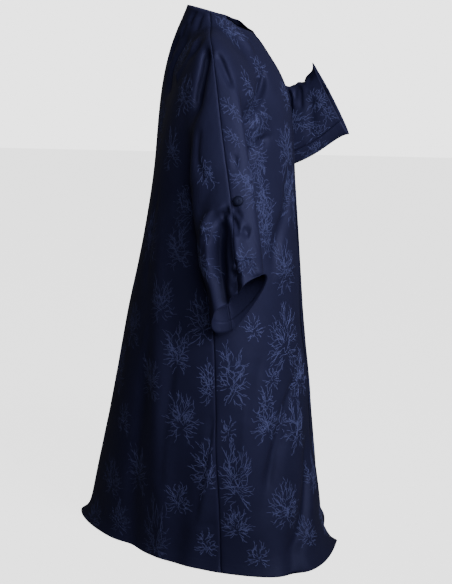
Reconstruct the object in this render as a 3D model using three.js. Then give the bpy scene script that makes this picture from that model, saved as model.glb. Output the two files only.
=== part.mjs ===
// A floor-length, very loose satin robe: a right front, a left front and a back, each cut in one with
// its half of both sleeves, and a covered button over the gathers at each elbow.
// Millimetres, +Z up. The front faces -Y and the wearer's right arm is at -X.
// The origin is the middle of the neck opening, level with the nape; the hem stands on z = -1400.
import * as THREE from "three";

// ---- driving dimensions ----
const NAPE_TO_FLOOR = 1400;
const ARMPIT_DEPTH = 430; // from the nape down to the point where sleeve and side seam meet
const WALL = 2; // thickness of the cloth walls
const SEAM_GAP = 0.5; // the space left between two pieces along a seam
const ARMPIT_GAP = 3; // the same where four seams meet in the sharp corner under an arm
const FRONT_PARTING = 4; // the space between the two front edges
const HEM_LIFT = 1.2; // height of the middle of the cloth above the floor at the hem
const HEM_TURN_HEIGHT = 12; // where the hem starts to turn outwards
const SKIRT_START_HEIGHT = 42; // the first row above the turned hem
const BUTTON_RADIUS = 12;
const BUTTON_HEIGHT = 6.5;
const BUTTON_RIM = 2.2; // height of the straight side of a button
const BUTTON_GAP = 0.55; // between the back of a button and the sleeve

// ---- how finely the cloth is divided ----
const QUARTER_COLUMNS = 14; // from the front edge, or the centre back, to the side seam
const NECK_COLUMNS = 5; // those of them that end at the neckline
const SKIRT_ROWS = 16; // from the turned hem up to the armpit
const YOKE_ROWS = 11; // from the armpit up to the shoulder, and round each half of a sleeve
const SLEEVE_RINGS = 14; // from the armpit and shoulder out to the cuff
const EVEN_OUT_ROUNDS = 7;
const FINE_STEPS = 180; // steps of a curve before it is divided evenly

// ---- tables ----
// Level rings of the body. right, left and back: reach of the right front edge, the left front edge
// and the centre back from the neck's axis; side: where the side seam lies along Y; half: half the
// width; squareFront and squareBack: the power of the rounded corner, where 2 is an ellipse.
const BODY_RINGS = [
  { z: -1400, right: 334, left: 284, side: -78, back: 410, half: 262, squareFront: 3, squareBack: 1.52 },
  { z: -1388, right: 312, left: 278, side: -77, back: 396, half: 249, squareFront: 3, squareBack: 1.5 },
  { z: -1340, right: 288, left: 264, side: -76, back: 387, half: 246, squareFront: 2.7, squareBack: 1.58 },
  { z: -1270, right: 280, left: 264, side: -74, back: 369, half: 243, squareFront: 2.5, squareBack: 1.62 },
  { z: -1180, right: 267, left: 262, side: -68, back: 342, half: 239, squareFront: 2.3, squareBack: 1.7 },
  { z: -1080, right: 249, left: 250, side: -60, back: 314, half: 234, squareFront: 2.2, squareBack: 1.8 },
  { z: -950, right: 242, left: 243, side: -58, back: 282, half: 227, squareFront: 2.1, squareBack: 1.9 },
  { z: -800, right: 221, left: 223, side: -52, back: 248, half: 219, squareFront: 2, squareBack: 2 },
  { z: -650, right: 214, left: 215, side: -36, back: 214, half: 211, squareFront: 2, squareBack: 2.05 },
  { z: -520, right: 204, left: 206, side: -18, back: 183, half: 202, squareFront: 2, squareBack: 2.1 },
  { z: -430, right: 198, left: 198, side: -6, back: 163, half: 200, squareFront: 2, squareBack: 2.1 },
];

// Lines of the upper body, each a row of [x, y, z] points for the wearer's right side.
const FRONT_EDGE = [
  [0, -198, -430],
  [0, -194, -350],
  [0, -190, -275],
  [0, -179, -215],
  [0, -158, -165],
  [0, -128, -118],
  [0, -107, -88],
  [0, -88, -68],
];
const CENTRE_BACK = [
  [0, 163, -430],
  [0, 159, -350],
  [0, 156, -275],
  [0, 150, -205],
  [0, 139, -140],
  [0, 118, -65],
  [0, 94, -20],
  [0, 76, 0],
];
const NECK_FRONT = [
  [0, -88, -68],
  [-30, -82, -64],
  [-56, -60, -54],
  [-72, -28, -36],
  [-77, 0, -22],
];
const NECK_BACK = [
  [0, 76, 0],
  [-32, 70, -2],
  [-58, 50, -8],
  [-73, 24, -16],
  [-77, 0, -22],
];
const SHOULDER = [
  [-77, 0, -22],
  [-115, -9, -30],
  [-155, -18, -44],
  [-188, -28, -66],
];

// Rings of the sleeves from the armhole to the cuff. over and under: where the seam over the arm and
// the seam under it lie; front and back: how far the two halves bulge from the middle of the line
// between those seams; round: 0 for a leaf-shaped ring, 1 for an oval.
const RIGHT_SLEEVE_RINGS = [
  {
    over: [-188, -28, -66], under: [-200, -6, -430],
    front: [-14, -96, 14], back: [-4, 36, 0], round: 0,
  },
  {
    over: [-217, -47, -140], under: [-215, -16, -450],
    front: [-10, -94, 10], back: [-14, 30, 5], round: 0.25,
  },
  {
    over: [-245, -67, -233], under: [-226, -28, -480],
    front: [-6, -93, 2], back: [-12, 48, 14], round: 0.5,
  },
  {
    over: [-270, -87, -338], under: [-232, -42, -518],
    front: [2, -92, -6], back: [-8, 68, 20], round: 0.75,
  },
  {
    over: [-291, -110, -444], under: [-236, -56, -562],
    front: [6, -90, -16], back: [-6, 74, 22], round: 0.9,
  },
  {
    over: [-305, -118, -518], under: [-240, -70, -618],
    front: [6, -90, -8], back: [-4, 68, 4], round: 1,
  },
  {
    over: [-317, -125, -590], under: [-245, -86, -696],
    front: [8, -85, 16], back: [-6, 58, -14], round: 1,
  },
  {
    over: [-329, -136, -658], under: [-251, -102, -769],
    front: [14, -74, 83], back: [-5, 56, -25], round: 1,
  },
];
const LEFT_SLEEVE_RINGS = [
  {
    over: [188, -28, -66], under: [200, -6, -430],
    front: [14, -96, 20], back: [6, 76, 0], round: 0,
  },
  {
    over: [228, -36, -140], under: [217, -36, -452],
    front: [-3, -90, 60], back: [14, 80, -30], round: 0.3,
  },
  {
    over: [258, -60, -215], under: [220, -84, -434],
    front: [-22, -70, 113], back: [10, 78, -75], round: 0.6,
  },
  {
    over: [276, -100, -270], under: [216, -130, -392],
    front: [-30, -42, 140], back: [-4, 44, -106], round: 0.85,
  },
  {
    over: [275, -150, -255], under: [214, -188, -366],
    front: [-31, -10, 137], back: [-5, 18, -101], round: 1,
  },
  {
    over: [266, -196, -232], under: [214, -236, -336],
    front: [-29, 26, 123], back: [-1, -6, -94], round: 1,
  },
  {
    over: [255, -236, -206], under: [213, -280, -292],
    front: [-25, 54, 99], back: [-1, -39, -67], round: 1,
  },
];

// The largest folds. depth: how far the cloth stands out, or lies in where it is below 0; from and to:
// the fold's half width at the two ends of its line; open: whether it runs out at full depth.
const FOLDS = [
  // crease from the chest to the right armhole
  { depth: -10, from: 18, to: 20, open: false,
    line: [
      [-72, -127, -150], [-89, -137, -188], [-138, -138, -231],
      [-179, -126, -257], [-230, -122, -289],
    ] },
  // lower crease from the chest to the right sleeve
  { depth: -8, from: 17, to: 18, open: false,
    line: [[-105, -161, -310], [-141, -144, -329], [-168, -124, -347], [-205, -118, -352]] },
  // ridge from the neck over the right chest
  { depth: 5, from: 13, to: 15, open: false,
    line: [[-77, -11, -30], [-70, -54, -60], [-72, -89, -100], [-84, -122, -155]] },
  // line in front of the right shoulder seam
  { depth: -5, from: 12, to: 12, open: false,
    line: [[-197, -49, -114], [-207, -68, -150], [-213, -84, -179], [-217, -97, -206]] },
  // long hollow down the right front
  { depth: -8, from: 20, to: 24, open: false,
    line: [
      [-28, -192, -354], [-44, -194, -454], [-66, -192, -509],
      [-102, -180, -561], [-131, -170, -659],
    ] },
  // ridge from the right cuff to the front edge
  { depth: 5, from: 15, to: 15, open: false,
    line: [[-130, -172, -689], [-92, -191, -645], [-14, -212, -638]] },
  // hollow behind the seam over the right arm
  { depth: -8, from: 16, to: 16, open: false,
    line: [[-259, -73, -379], [-266, -60, -420], [-271, -42, -472], [-271, -32, -514]] },
  // ridge down the right sleeve from the elbow gathers
  { depth: 9, from: 15, to: 18, open: false,
    line: [
      [-272, -107, -469], [-279, -66, -502], [-278, -44, -546],
      [-280, -44, -605], [-286, -55, -667],
    ] },
  // valley down the right sleeve from the elbow gathers
  { depth: -12, from: 13, to: 17, open: false,
    line: [[-276, -103, -485], [-287, -94, -533], [-297, -92, -592], [-309, -105, -655]] },
  // ridge over the right forearm
  { depth: 8, from: 15, to: 17, open: false,
    line: [[-281, -124, -523], [-287, -142, -563], [-293, -156, -599]] },
  // folds from the back of the neck, right
  { depth: -6, from: 13, to: 15, open: false,
    line: [[-76, 40, -60], [-64, 78, -92], [-46, 106, -123], [-52, 113, -160]] },
  { depth: -7, from: 13, to: 16, open: false,
    line: [[-149, -9, -72], [-161, 8, -104], [-133, 44, -141], [-115, 70, -178]] },
  // deep valley between the right sleeve and the back
  { depth: -15, from: 15, to: 20, open: false,
    line: [[-170, -17, -82], [-197, -20, -130], [-208, -16, -175], [-220, -9, -239], [-210, 9, -302]] },
  // folds of the right front skirt
  { depth: -9, from: 18, to: 26, open: false,
    line: [
      [-20, -232, -896], [-97, -223, -964], [-142, -210, -1052],
      [-180, -191, -1130], [-224, -174, -1299],
    ] },
  { depth: -14, from: 18, to: 30, open: true,
    line: [
      [-35, -246, -1054], [-68, -260, -1178], [-122, -263, -1272],
      [-187, -255, -1337], [-225, -262, -1400],
    ] },
  // ridge behind the right side seam
  { depth: 10, from: 22, to: 34, open: true,
    line: [[-226, -50, -979], [-234, -34, -1109], [-238, -11, -1250], [-242, 13, -1400]] },
  // folds of the right half of the back
  { depth: 10, from: 30, to: 38, open: true,
    line: [[-157, 106, -448], [-183, 106, -694], [-200, 107, -976], [-212, 99, -1214], [-221, 93, -1400]] },
  { depth: -12, from: 26, to: 40, open: true,
    line: [[-170, 144, -802], [-171, 169, -991], [-168, 196, -1187], [-179, 203, -1400]] },
  // hollow across the left forearm
  { depth: -8, from: 13, to: 15, open: false,
    line: [[202, -187, -186], [192, -200, -238], [196, -203, -296], [204, -195, -358]] },
  // crease from the chest to the left armhole
  { depth: -9, from: 15, to: 17, open: false,
    line: [[68, -123, -141], [91, -134, -183], [128, -134, -226], [168, -124, -252]] },
  // ridge from the neck over the left chest
  { depth: 5, from: 13, to: 15, open: false,
    line: [[81, -12, -35], [74, -50, -60], [81, -82, -98], [103, -112, -150]] },
  // line in front of the left shoulder seam
  { depth: -5, from: 13, to: 13, open: false,
    line: [[198, -49, -109], [216, -68, -150], [236, -88, -190]] },
  // long hollow down the left front
  { depth: -8, from: 22, to: 26, open: false,
    line: [[64, -188, -380], [75, -189, -497], [115, -178, -621], [140, -170, -738]] },
  // folds of the left front skirt
  { depth: -10, from: 20, to: 30, open: false,
    line: [[56, -220, -833], [116, -213, -954], [158, -200, -1068], [194, -192, -1215]] },
  { depth: -13, from: 18, to: 32, open: true,
    line: [[68, -235, -989], [114, -236, -1135], [178, -220, -1274], [236, -205, -1400]] },
  // ridge and hollow beside the left side seam
  { depth: 11, from: 24, to: 36, open: true,
    line: [[214, -103, -953], [223, -111, -1093], [234, -119, -1247], [250, -131, -1400]] },
  { depth: -12, from: 22, to: 34, open: true,
    line: [[222, -44, -904], [231, -36, -1057], [238, -16, -1244], [246, -7, -1400]] },
  // folds from the back of the neck, left
  { depth: -6, from: 13, to: 15, open: false,
    line: [[80, 34, -55], [75, 66, -88], [70, 94, -126], [85, 100, -169]] },
  { depth: -7, from: 13, to: 16, open: false,
    line: [[169, -14, -77], [191, 1, -114], [193, 30, -155], [200, 48, -200]] },
  // valley between the left sleeve and the back
  { depth: -10, from: 15, to: 18, open: false,
    line: [[187, -22, -91], [212, -19, -136], [231, -10, -190], [240, 7, -245]] },
  // folds of the left half of the back
  { depth: 11, from: 30, to: 40, open: true,
    line: [[177, 90, -518], [192, 99, -768], [204, 107, -1055], [218, 117, -1400]] },
  { depth: -12, from: 26, to: 40, open: true,
    line: [[165, 139, -725], [170, 163, -936], [171, 189, -1158], [171, 218, -1400]] },
  // hollow at the bend of the left elbow, and a ridge along the left forearm
  { depth: -9, from: 15, to: 18, open: false,
    line: [[257, -173, -216], [267, -157, -264], [269, -125, -300], [265, -82, -337]] },
  { depth: 7, from: 14, to: 16, open: false,
    line: [[252, -203, -207], [252, -236, -233]] },
  // folds beside the centre back
  { depth: 9, from: 34, to: 46, open: true,
    line: [[-13, 191, -560], [-9, 245, -800], [11, 313, -1100], [28, 396, -1400]] },
  { depth: -9, from: 30, to: 44, open: true,
    line: [[44, 205, -640], [50, 259, -900], [55, 312, -1150], [59, 374, -1400]] },
];
const SOFT_END = 0.3; // the share of a fold's line over which a soft end fades
const FOLD_REACH = 2.2; // a fold is left out farther off than this many of its half widths

// Where each button lies on the front half of its sleeve: a ring and a row round it, and the share of
// the way from that ring to the next (along) and from that row to the next (round).
const BUTTON_PLACES = [
  { piece: "right_front", name: "right_button", ring: 8, row: 10, along: 0.1, round: 0.13 },
  { piece: "left_front", name: "left_button", ring: 8, row: 10, along: 0.1, round: 0.13 },
];
const BUTTON_SEAT_REACH = 16; // the cloth this near a button's middle decides how high the button lies

const COLOURS = { cloth: 0x232a52, button: 0x1b2144 };
const CLOTH_ROUGHNESS = 0.45;
const BUTTON_ROUGHNESS = 0.5;

// ---- curves ----
const point = (row) => new THREE.Vector3(row[0], row[1], row[2]);

/** The row of a table of numbers at x, by a curve that never swings past its rows. */
function rowAt(xs, rows, x) {
  const last = xs.length - 1;
  let k = 0;
  while (k < last - 1 && x > xs[k + 1]) k += 1;
  const slope = (i, c) => (rows[i + 1][c] - rows[i][c]) / (xs[i + 1] - xs[i]);
  const tangent = (i, c) => {
    if (i === 0) return slope(0, c);
    if (i === last) return slope(last - 1, c);
    const before = slope(i - 1, c);
    const after = slope(i, c);
    return before * after > 0 ? (2 * before * after) / (before + after) : 0;
  };
  const span = xs[k + 1] - xs[k];
  const t = (x - xs[k]) / span;
  const t2 = t * t;
  const t3 = t2 * t;
  return rows[k].map(
    (value, c) =>
      (2 * t3 - 3 * t2 + 1) * value +
      (t3 - 2 * t2 + t) * span * tangent(k, c) +
      (3 * t2 - 2 * t3) * rows[k + 1][c] +
      (t3 - t2) * span * tangent(k + 1, c),
  );
}

/** count + 1 points spaced evenly along a chain of points. */
function spacedEvenly(chain, count) {
  const run = [0];
  for (let i = 1; i < chain.length; i += 1) run.push(run[i - 1] + chain[i].distanceTo(chain[i - 1]));
  const out = [];
  let k = 0;
  for (let i = 0; i <= count; i += 1) {
    const want = (run[run.length - 1] * i) / count;
    while (k < chain.length - 2 && run[k + 1] < want) k += 1;
    const share = (want - run[k]) / (run[k + 1] - run[k]);
    out.push(chain[k].clone().lerp(chain[k + 1], Math.min(share, 1)));
  }
  return out;
}

/** A smooth curve through the rows of a table, as count + 1 even points. */
function smoothLine(rows, count) {
  const curve = new THREE.CatmullRomCurve3(rows.map(point), false, "catmullrom", 0.5);
  return spacedEvenly(curve.getPoints(FINE_STEPS), count);
}

const mirrored = (points) => points.map((p) => new THREE.Vector3(-p.x, p.y, p.z));

// ---- the body below the armpits ----
const ringRows = BODY_RINGS.map((r) => Object.values(r));
const ringHeights = BODY_RINGS.map((r) => r.z);

/** A quarter of a level ring, from the front edge or the centre back to the side seam. */
function quarterRing(z, right, back) {
  const ring = rowAt(ringHeights, ringRows, z);
  const [, reachRight, reachLeft, side, reachBack, half, squareFront, squareBack] = ring;
  const reach = back ? reachBack - side : -(right ? reachRight : reachLeft) - side;
  const power = 2 / (back ? squareBack : squareFront);
  const chain = [];
  for (let i = 0; i <= FINE_STEPS; i += 1) {
    const angle = (Math.PI / 2) * (i / FINE_STEPS);
    const across = half * Math.pow(Math.sin(angle), power);
    const along = side + reach * Math.pow(Math.max(Math.cos(angle), 0), power);
    chain.push(new THREE.Vector3(right ? -across : across, along, z));
  }
  return spacedEvenly(chain, QUARTER_COLUMNS);
}

const ROW_CROWDING = 0.28; // how much closer the skirt's rows lie near the floor
const ROW_POWER = 1.6;
const skirtHeights = [HEM_LIFT, HEM_TURN_HEIGHT].map((h) => h - NAPE_TO_FLOOR);
for (let i = 0; i < SKIRT_ROWS; i += 1) {
  const share = i / (SKIRT_ROWS - 1);
  const climb = (1 - ROW_CROWDING) * share + ROW_CROWDING * Math.pow(share, ROW_POWER);
  const top = NAPE_TO_FLOOR - ARMPIT_DEPTH;
  skirtHeights.push(SKIRT_START_HEIGHT + (top - SKIRT_START_HEIGHT) * climb - NAPE_TO_FLOOR);
}

// ---- the sleeves ----
const ringNumbers = (r) => [...r.over, ...r.under, ...r.front, ...r.back, r.round];

/** One half of a sleeve's ring, from the seam under the arm to the seam over it. */
function halfRing(numbers, back) {
  const over = point(numbers.slice(0, 3));
  const under = point(numbers.slice(3, 6));
  const bulge = point(back ? numbers.slice(9, 12) : numbers.slice(6, 9));
  const round = numbers[12];
  const chain = [];
  for (let i = 0; i <= FINE_STEPS; i += 1) {
    const share = i / FINE_STEPS;
    const climb = (1 - round) * share + (round * (1 - Math.cos(Math.PI * share))) / 2;
    chain.push(under.clone().lerp(over, climb).addScaledVector(bulge, Math.sin(Math.PI * share)));
  }
  return spacedEvenly(chain, YOKE_ROWS);
}

function sleeveHalf(table, back) {
  const rows = table.map(ringNumbers);
  const places = rows.map((_, i) => i);
  const rings = [];
  for (let i = 0; i <= SLEEVE_RINGS; i += 1)
    rings.push(halfRing(rowAt(places, rows, ((rows.length - 1) * i) / SLEEVE_RINGS), back));
  return rings;
}

// ---- the body above the armpits ----
/** A sheet stretched between four lines that meet at their ends. */
function sheetBetween(bottom, top, first, last) {
  const columns = bottom.length - 1;
  const rows = first.length - 1;
  return first.map((firstPoint, j) => {
    const v = j / rows;
    return bottom.map((bottomPoint, i) => {
      const u = i / columns;
      return new THREE.Vector3()
        .addScaledVector(bottomPoint, 1 - v)
        .addScaledVector(top[i], v)
        .addScaledVector(firstPoint, 1 - u)
        .addScaledVector(last[j], u)
        .addScaledVector(bottom[0], -(1 - u) * (1 - v))
        .addScaledVector(bottom[columns], -u * (1 - v))
        .addScaledVector(top[0], -(1 - u) * v)
        .addScaledVector(top[columns], -u * v);
    });
  });
}

// ---- one shared mesh of points for the whole robe ----
const points = [];
const blocks = [];

/** Adds a grid of points, using the number of a point that is there already where shared gives one. */
function addBlock(piece, part, right, back, grid, shared) {
  const ids = grid.map((row, a) =>
    row.map((p, b) => {
      const known = shared(a, b);
      if (known !== undefined) return known;
      points.push(p);
      return points.length - 1;
    }),
  );
  const block = { piece, part, right, back, ids };
  blocks.push(block);
  return block;
}

const findBlock = (part, right, back) =>
  blocks.find((b) => b.part === part && b.right === right && b.back === back);

for (const right of [true, false]) {
  for (const back of [false, true]) {
    const piece = back ? "back" : right ? "right_front" : "left_front";
    const halves = sleeveHalf(right ? RIGHT_SLEEVE_RINGS : LEFT_SLEEVE_RINGS, back);
    const skirt = skirtHeights.map((z) => quarterRing(z, right, back));
    const turn = right ? (line) => line : mirrored;
    const neck = turn(smoothLine(back ? NECK_BACK : NECK_FRONT, NECK_COLUMNS));
    const shoulder = turn(smoothLine(SHOULDER, QUARTER_COLUMNS - NECK_COLUMNS));
    const middle = smoothLine(back ? CENTRE_BACK : FRONT_EDGE, YOKE_ROWS);
    const yoke = sheetBetween(skirt[skirt.length - 1], [...neck, ...shoulder.slice(1)], middle, halves[0]);

    const otherSkirt = back && findBlock("skirt", right, false).ids;
    const otherYoke = back && findBlock("yoke", right, false).ids;
    const otherSleeve = back && findBlock("sleeve", right, false).ids;
    const across = back && !right;
    const skirtIds = addBlock(piece, "skirt", right, back, skirt, (a, b) => {
      if (back && b === QUARTER_COLUMNS) return otherSkirt[a][b];
      return across && b === 0 ? findBlock("skirt", true, true).ids[a][b] : undefined;
    }).ids;
    const yokeIds = addBlock(piece, "yoke", right, back, yoke, (a, b) => {
      if (a === 0) return skirtIds[skirtIds.length - 1][b];
      if (back && a === YOKE_ROWS && b >= NECK_COLUMNS) return otherYoke[a][b];
      return across && b === 0 ? findBlock("yoke", true, true).ids[a][b] : undefined;
    }).ids;
    addBlock(piece, "sleeve", right, back, halves, (a, b) => {
      if (a === 0) return yokeIds[b][QUARTER_COLUMNS];
      return back && (b === 0 || b === YOKE_ROWS) ? otherSleeve[a][b] : undefined;
    });
  }
}

// The two front edges stand side by side, and every opening keeps its line when the rest is evened out.
const held = new Set();
for (const block of blocks) {
  const { ids, part, right, back } = block;
  if (part === "skirt") ids[0].forEach((id) => held.add(id));
  if (part === "sleeve") ids[ids.length - 1].forEach((id) => held.add(id));
  if (part === "yoke") ids[YOKE_ROWS].slice(0, NECK_COLUMNS + 1).forEach((id) => held.add(id));
  if (part !== "sleeve" && !back)
    for (const row of ids) {
      points[row[0]].x = ((right ? -1 : 1) * FRONT_PARTING) / 2;
      held.add(row[0]);
    }
}

/** The squares of a block as rings of four point numbers, turned to face out of the robe. */
function squaresOf(block) {
  const { ids, part, right, back } = block;
  const turned = (right !== back) !== (part === "sleeve");
  const out = [];
  for (let a = 0; a + 1 < ids.length; a += 1)
    for (let b = 0; b + 1 < ids[a].length; b += 1) {
      const square = [ids[a][b], ids[a][b + 1], ids[a + 1][b + 1], ids[a + 1][b]];
      out.push(turned ? square.reverse() : square);
    }
  return out;
}
for (const block of blocks) block.squares = squaresOf(block);
const allSquares = blocks.flatMap((b) => b.squares);

const neighbours = points.map(() => new Set());
for (const square of allSquares)
  square.forEach((id, i) => {
    neighbours[id].add(square[(i + 1) % 4]);
    neighbours[square[(i + 1) % 4]].add(id);
  });

/** Moves each free point halfway to the middle of its neighbours, several times over. */
function evenOut(rounds) {
  for (let n = 0; n < rounds; n += 1) {
    const moved = points.map((p, id) => {
      if (held.has(id)) return p.clone();
      const middle = new THREE.Vector3();
      for (const other of neighbours[id]) middle.add(points[other]);
      return middle.divideScalar(neighbours[id].size).lerp(p, 0.5);
    });
    moved.forEach((p, id) => points[id].copy(p));
  }
}

/** The direction out of the cloth at every point. */
function outwards() {
  const normals = points.map(() => new THREE.Vector3());
  for (const [a, b, c, d] of allSquares) {
    const across = points[c].clone().sub(points[a]);
    const normal = across.cross(points[d].clone().sub(points[b]));
    for (const id of [a, b, c, d]) normals[id].add(normal);
  }
  return normals.map((n) => n.normalize());
}

/** Pushes the cloth in or out along the folds' lines. Only cloth that faces as the line does is moved. */
function fold(normals) {
  const shifts = points.map(() => 0);
  for (const { depth, from, to, open, line } of FOLDS) {
    const chain = line.map(point);
    const facing = chain.map((p) => {
      let best = 0;
      points.forEach((q, id) => {
        if (q.distanceToSquared(p) < points[best].distanceToSquared(p)) best = id;
      });
      return normals[best];
    });
    const run = [0];
    for (let i = 1; i < chain.length; i += 1) run.push(run[i - 1] + chain[i].distanceTo(chain[i - 1]));
    const whole = run[run.length - 1];
    points.forEach((p, id) => {
      let near = Infinity;
      let share = 0;
      let agree = 0;
      for (let i = 0; i + 1 < chain.length; i += 1) {
        const segment = new THREE.Line3(chain[i], chain[i + 1]);
        const t = segment.closestPointToPointParameter(p, true);
        const distance = segment.at(t, new THREE.Vector3()).distanceTo(p);
        if (distance >= near) continue;
        near = distance;
        share = (run[i] + t * (run[i + 1] - run[i])) / whole;
        agree = normals[id].dot(facing[i].clone().lerp(facing[i + 1], t));
      }
      const width = from + (to - from) * share;
      if (near > FOLD_REACH * width || agree <= 0) return;
      const start = THREE.MathUtils.smoothstep(share, 0, SOFT_END);
      const end = open ? 1 : THREE.MathUtils.smoothstep(1 - share, 0, SOFT_END);
      shifts[id] += depth * start * end * Math.exp(-((near / width) ** 2)) * Math.min(agree * 1.5, 1);
    });
  }
  points.forEach((p, id) => p.addScaledVector(normals[id], shifts[id]));
}

evenOut(EVEN_OUT_ROUNDS);
fold(outwards());
const floor = HEM_LIFT - NAPE_TO_FLOOR;
for (const p of points) p.z = Math.max(p.z, floor);
const normals = outwards();

// ---- the pieces ----
/** The edges that only one of the squares has, in that square's direction. */
function borderOf(squares) {
  const edges = new Map();
  for (const square of squares)
    square.forEach((id, i) => {
      const next = square[(i + 1) % 4];
      if (!edges.delete(`${next}_${id}`)) edges.set(`${id}_${next}`, [id, next]);
    });
  return [...edges.values()];
}

const pieceNames = ["right_front", "left_front", "back"];
const piecesAt = points.map(() => new Set());
for (const { piece, squares } of blocks)
  for (const id of squares.flat()) piecesAt[id].add(piece);

/** Where a point of a piece lies once the piece is drawn back a little from its seams. */
function drawnBack(id, seamNeighbours, innerNeighbours) {
  const here = points[id];
  const inward = new THREE.Vector3();
  for (const other of innerNeighbours) inward.add(points[other].clone().sub(here).normalize());
  inward.projectOnPlane(normals[id]);
  const ways = seamNeighbours.map((other) => points[other].clone().sub(here).normalize());
  const straight = ways.length < 2 || ways[0].dot(ways[1]) < 0;
  if (ways.length > 0 && straight) {
    const along = ways.length < 2 ? ways[0] : ways[0].sub(ways[1]).normalize();
    inward.projectOnPlane(along);
  }
  return here.clone().addScaledVector(inward.normalize(), (straight ? SEAM_GAP : ARMPIT_GAP) / 2);
}

/** A closed wall of cloth over one piece's squares. */
function wallOf(piece) {
  const squares = blocks.filter((b) => b.piece === piece).flatMap((b) => b.squares);
  const border = borderOf(squares);
  const used = [...new Set(squares.flat())];
  const local = new Map(used.map((id, i) => [id, i]));
  const onSeam = (id) => piecesAt[id].size > 1;
  const seams = new Map();
  for (const [a, b] of border)
    if (onSeam(a) && onSeam(b)) {
      seams.set(a, [...(seams.get(a) ?? []), b]);
      seams.set(b, [...(seams.get(b) ?? []), a]);
    }
  const middle = used.map((id) => {
    if (!seams.has(id)) return points[id];
    const inner = [...neighbours[id]].filter((other) => local.has(other) && !seams.get(id).includes(other));
    return drawnBack(id, seams.get(id), inner);
  });
  const corners = [];
  for (const side of [1, -1])
    middle.forEach((p, i) => corners.push(p.clone().addScaledVector(normals[used[i]], (side * WALL) / 2)));
  const inside = used.length;
  const triangles = [];
  for (const square of squares) {
    const [a, b, c, d] = square.map((id) => local.get(id));
    const short = middle[a].distanceTo(middle[c]) <= middle[b].distanceTo(middle[d]);
    const halves = short ? [[a, b, c], [a, c, d]] : [[a, b, d], [b, c, d]];
    for (const [i, j, k] of halves) triangles.push(i, j, k, inside + k, inside + j, inside + i);
  }
  for (const [from, to] of border) {
    const a = local.get(from);
    const b = local.get(to);
    triangles.push(b, a, inside + a, b, inside + a, inside + b);
  }
  const geometry = new THREE.BufferGeometry().setFromPoints(corners);
  geometry.setIndex(triangles);
  geometry.computeVertexNormals();
  return geometry;
}

/** A domed button, covered in the robe's cloth, lying on a sleeve. */
function buttonOn({ piece, ring, row, along, round }) {
  const { ids } = blocks.find((b) => b.piece === piece && b.part === "sleeve");
  const between = (list) => {
    const near = list[ids[ring][row]].clone().lerp(list[ids[ring + 1][row]], along);
    const far = list[ids[ring][row + 1]].clone().lerp(list[ids[ring + 1][row + 1]], along);
    return near.lerp(far, round);
  };
  const centre = between(points);
  const up = between(normals).normalize();
  const heights = points
    .map((p, id) => p.clone().addScaledVector(normals[id], WALL / 2).sub(centre))
    .filter((offset) => offset.length() < BUTTON_SEAT_REACH)
    .map((offset) => offset.dot(up));
  const seat = centre.clone().addScaledVector(up, Math.max(WALL / 2, ...heights) + BUTTON_GAP);
  const profile = [new THREE.Vector2(0, 0), new THREE.Vector2(BUTTON_RADIUS - 1, 0)];
  const domeSteps = 5;
  for (let i = 0; i <= domeSteps; i += 1) {
    const angle = (Math.PI / 2) * (i / domeSteps);
    const dome = BUTTON_HEIGHT - BUTTON_RIM;
    const radius = i === domeSteps ? 0 : BUTTON_RADIUS * Math.cos(angle);
    profile.push(new THREE.Vector2(radius, BUTTON_RIM + dome * Math.sin(angle)));
  }
  const geometry = new THREE.LatheGeometry(profile, 20);
  geometry.applyQuaternion(new THREE.Quaternion().setFromUnitVectors(new THREE.Vector3(0, 1, 0), up));
  geometry.translate(seat.x, seat.y, seat.z);
  return geometry;
}

const robe = new THREE.Group();
robe.name = "kimono";

function addMesh(name, geometry, color, roughness) {
  const mesh = new THREE.Mesh(geometry, new THREE.MeshStandardMaterial({ color, roughness, metalness: 0 }));
  mesh.name = name;
  robe.add(mesh);
}

for (const name of pieceNames) addMesh(name, wallOf(name), COLOURS.cloth, CLOTH_ROUGHNESS);
for (const place of BUTTON_PLACES) addMesh(place.name, buttonOn(place), COLOURS.button, BUTTON_ROUGHNESS);

export default robe;
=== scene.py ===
# %% [markdown]
# # A loose satin robe, worn and hollow
# The robe is three cut pieces of thin navy satin: a right front, a left front and a back, each with its
# half of both sleeves in one with it. This lesson builds them as one shared surface, so that the pieces
# meet along their seams, folds it line by line, and then gives each piece its thickness, hems and stitching.
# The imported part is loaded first. It is the fixed frame that everything here is fitted to.

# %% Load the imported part
import math

import bpy
import numpy as np
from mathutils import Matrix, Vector


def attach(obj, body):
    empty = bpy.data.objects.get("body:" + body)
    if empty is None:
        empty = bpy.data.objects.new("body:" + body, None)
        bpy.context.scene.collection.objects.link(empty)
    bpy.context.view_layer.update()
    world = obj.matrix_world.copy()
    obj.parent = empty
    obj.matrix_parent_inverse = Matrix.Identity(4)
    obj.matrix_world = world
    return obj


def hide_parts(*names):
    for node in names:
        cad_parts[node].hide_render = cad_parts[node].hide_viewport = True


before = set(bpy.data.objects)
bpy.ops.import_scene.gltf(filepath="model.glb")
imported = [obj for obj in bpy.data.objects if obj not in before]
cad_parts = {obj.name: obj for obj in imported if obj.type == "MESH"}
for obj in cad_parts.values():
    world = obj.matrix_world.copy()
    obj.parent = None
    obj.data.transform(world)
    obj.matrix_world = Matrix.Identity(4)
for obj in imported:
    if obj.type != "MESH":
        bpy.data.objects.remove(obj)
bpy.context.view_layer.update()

print("nodes of the part:", sorted(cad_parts))

# %% [markdown]
# ## Camera, floor and light
# The camera comes first, because every fold is judged through it. It stands at the wearer's right side, a
# little towards the front and level with the upper arm, and looks slightly down. A large soft lamp in
# front and a weaker one from the camera's side leave the back of the robe dark, as satin in a room is.

# %% Camera
CAMERA_PLACE = (-2.5114, -0.6929, -0.150)
CAMERA_TURN = math.radians(15)  # from straight across the robe towards its back
CAMERA_TILT = math.radians(12.6)  # downwards
LENS = 62.3
SENSOR = 36


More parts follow.
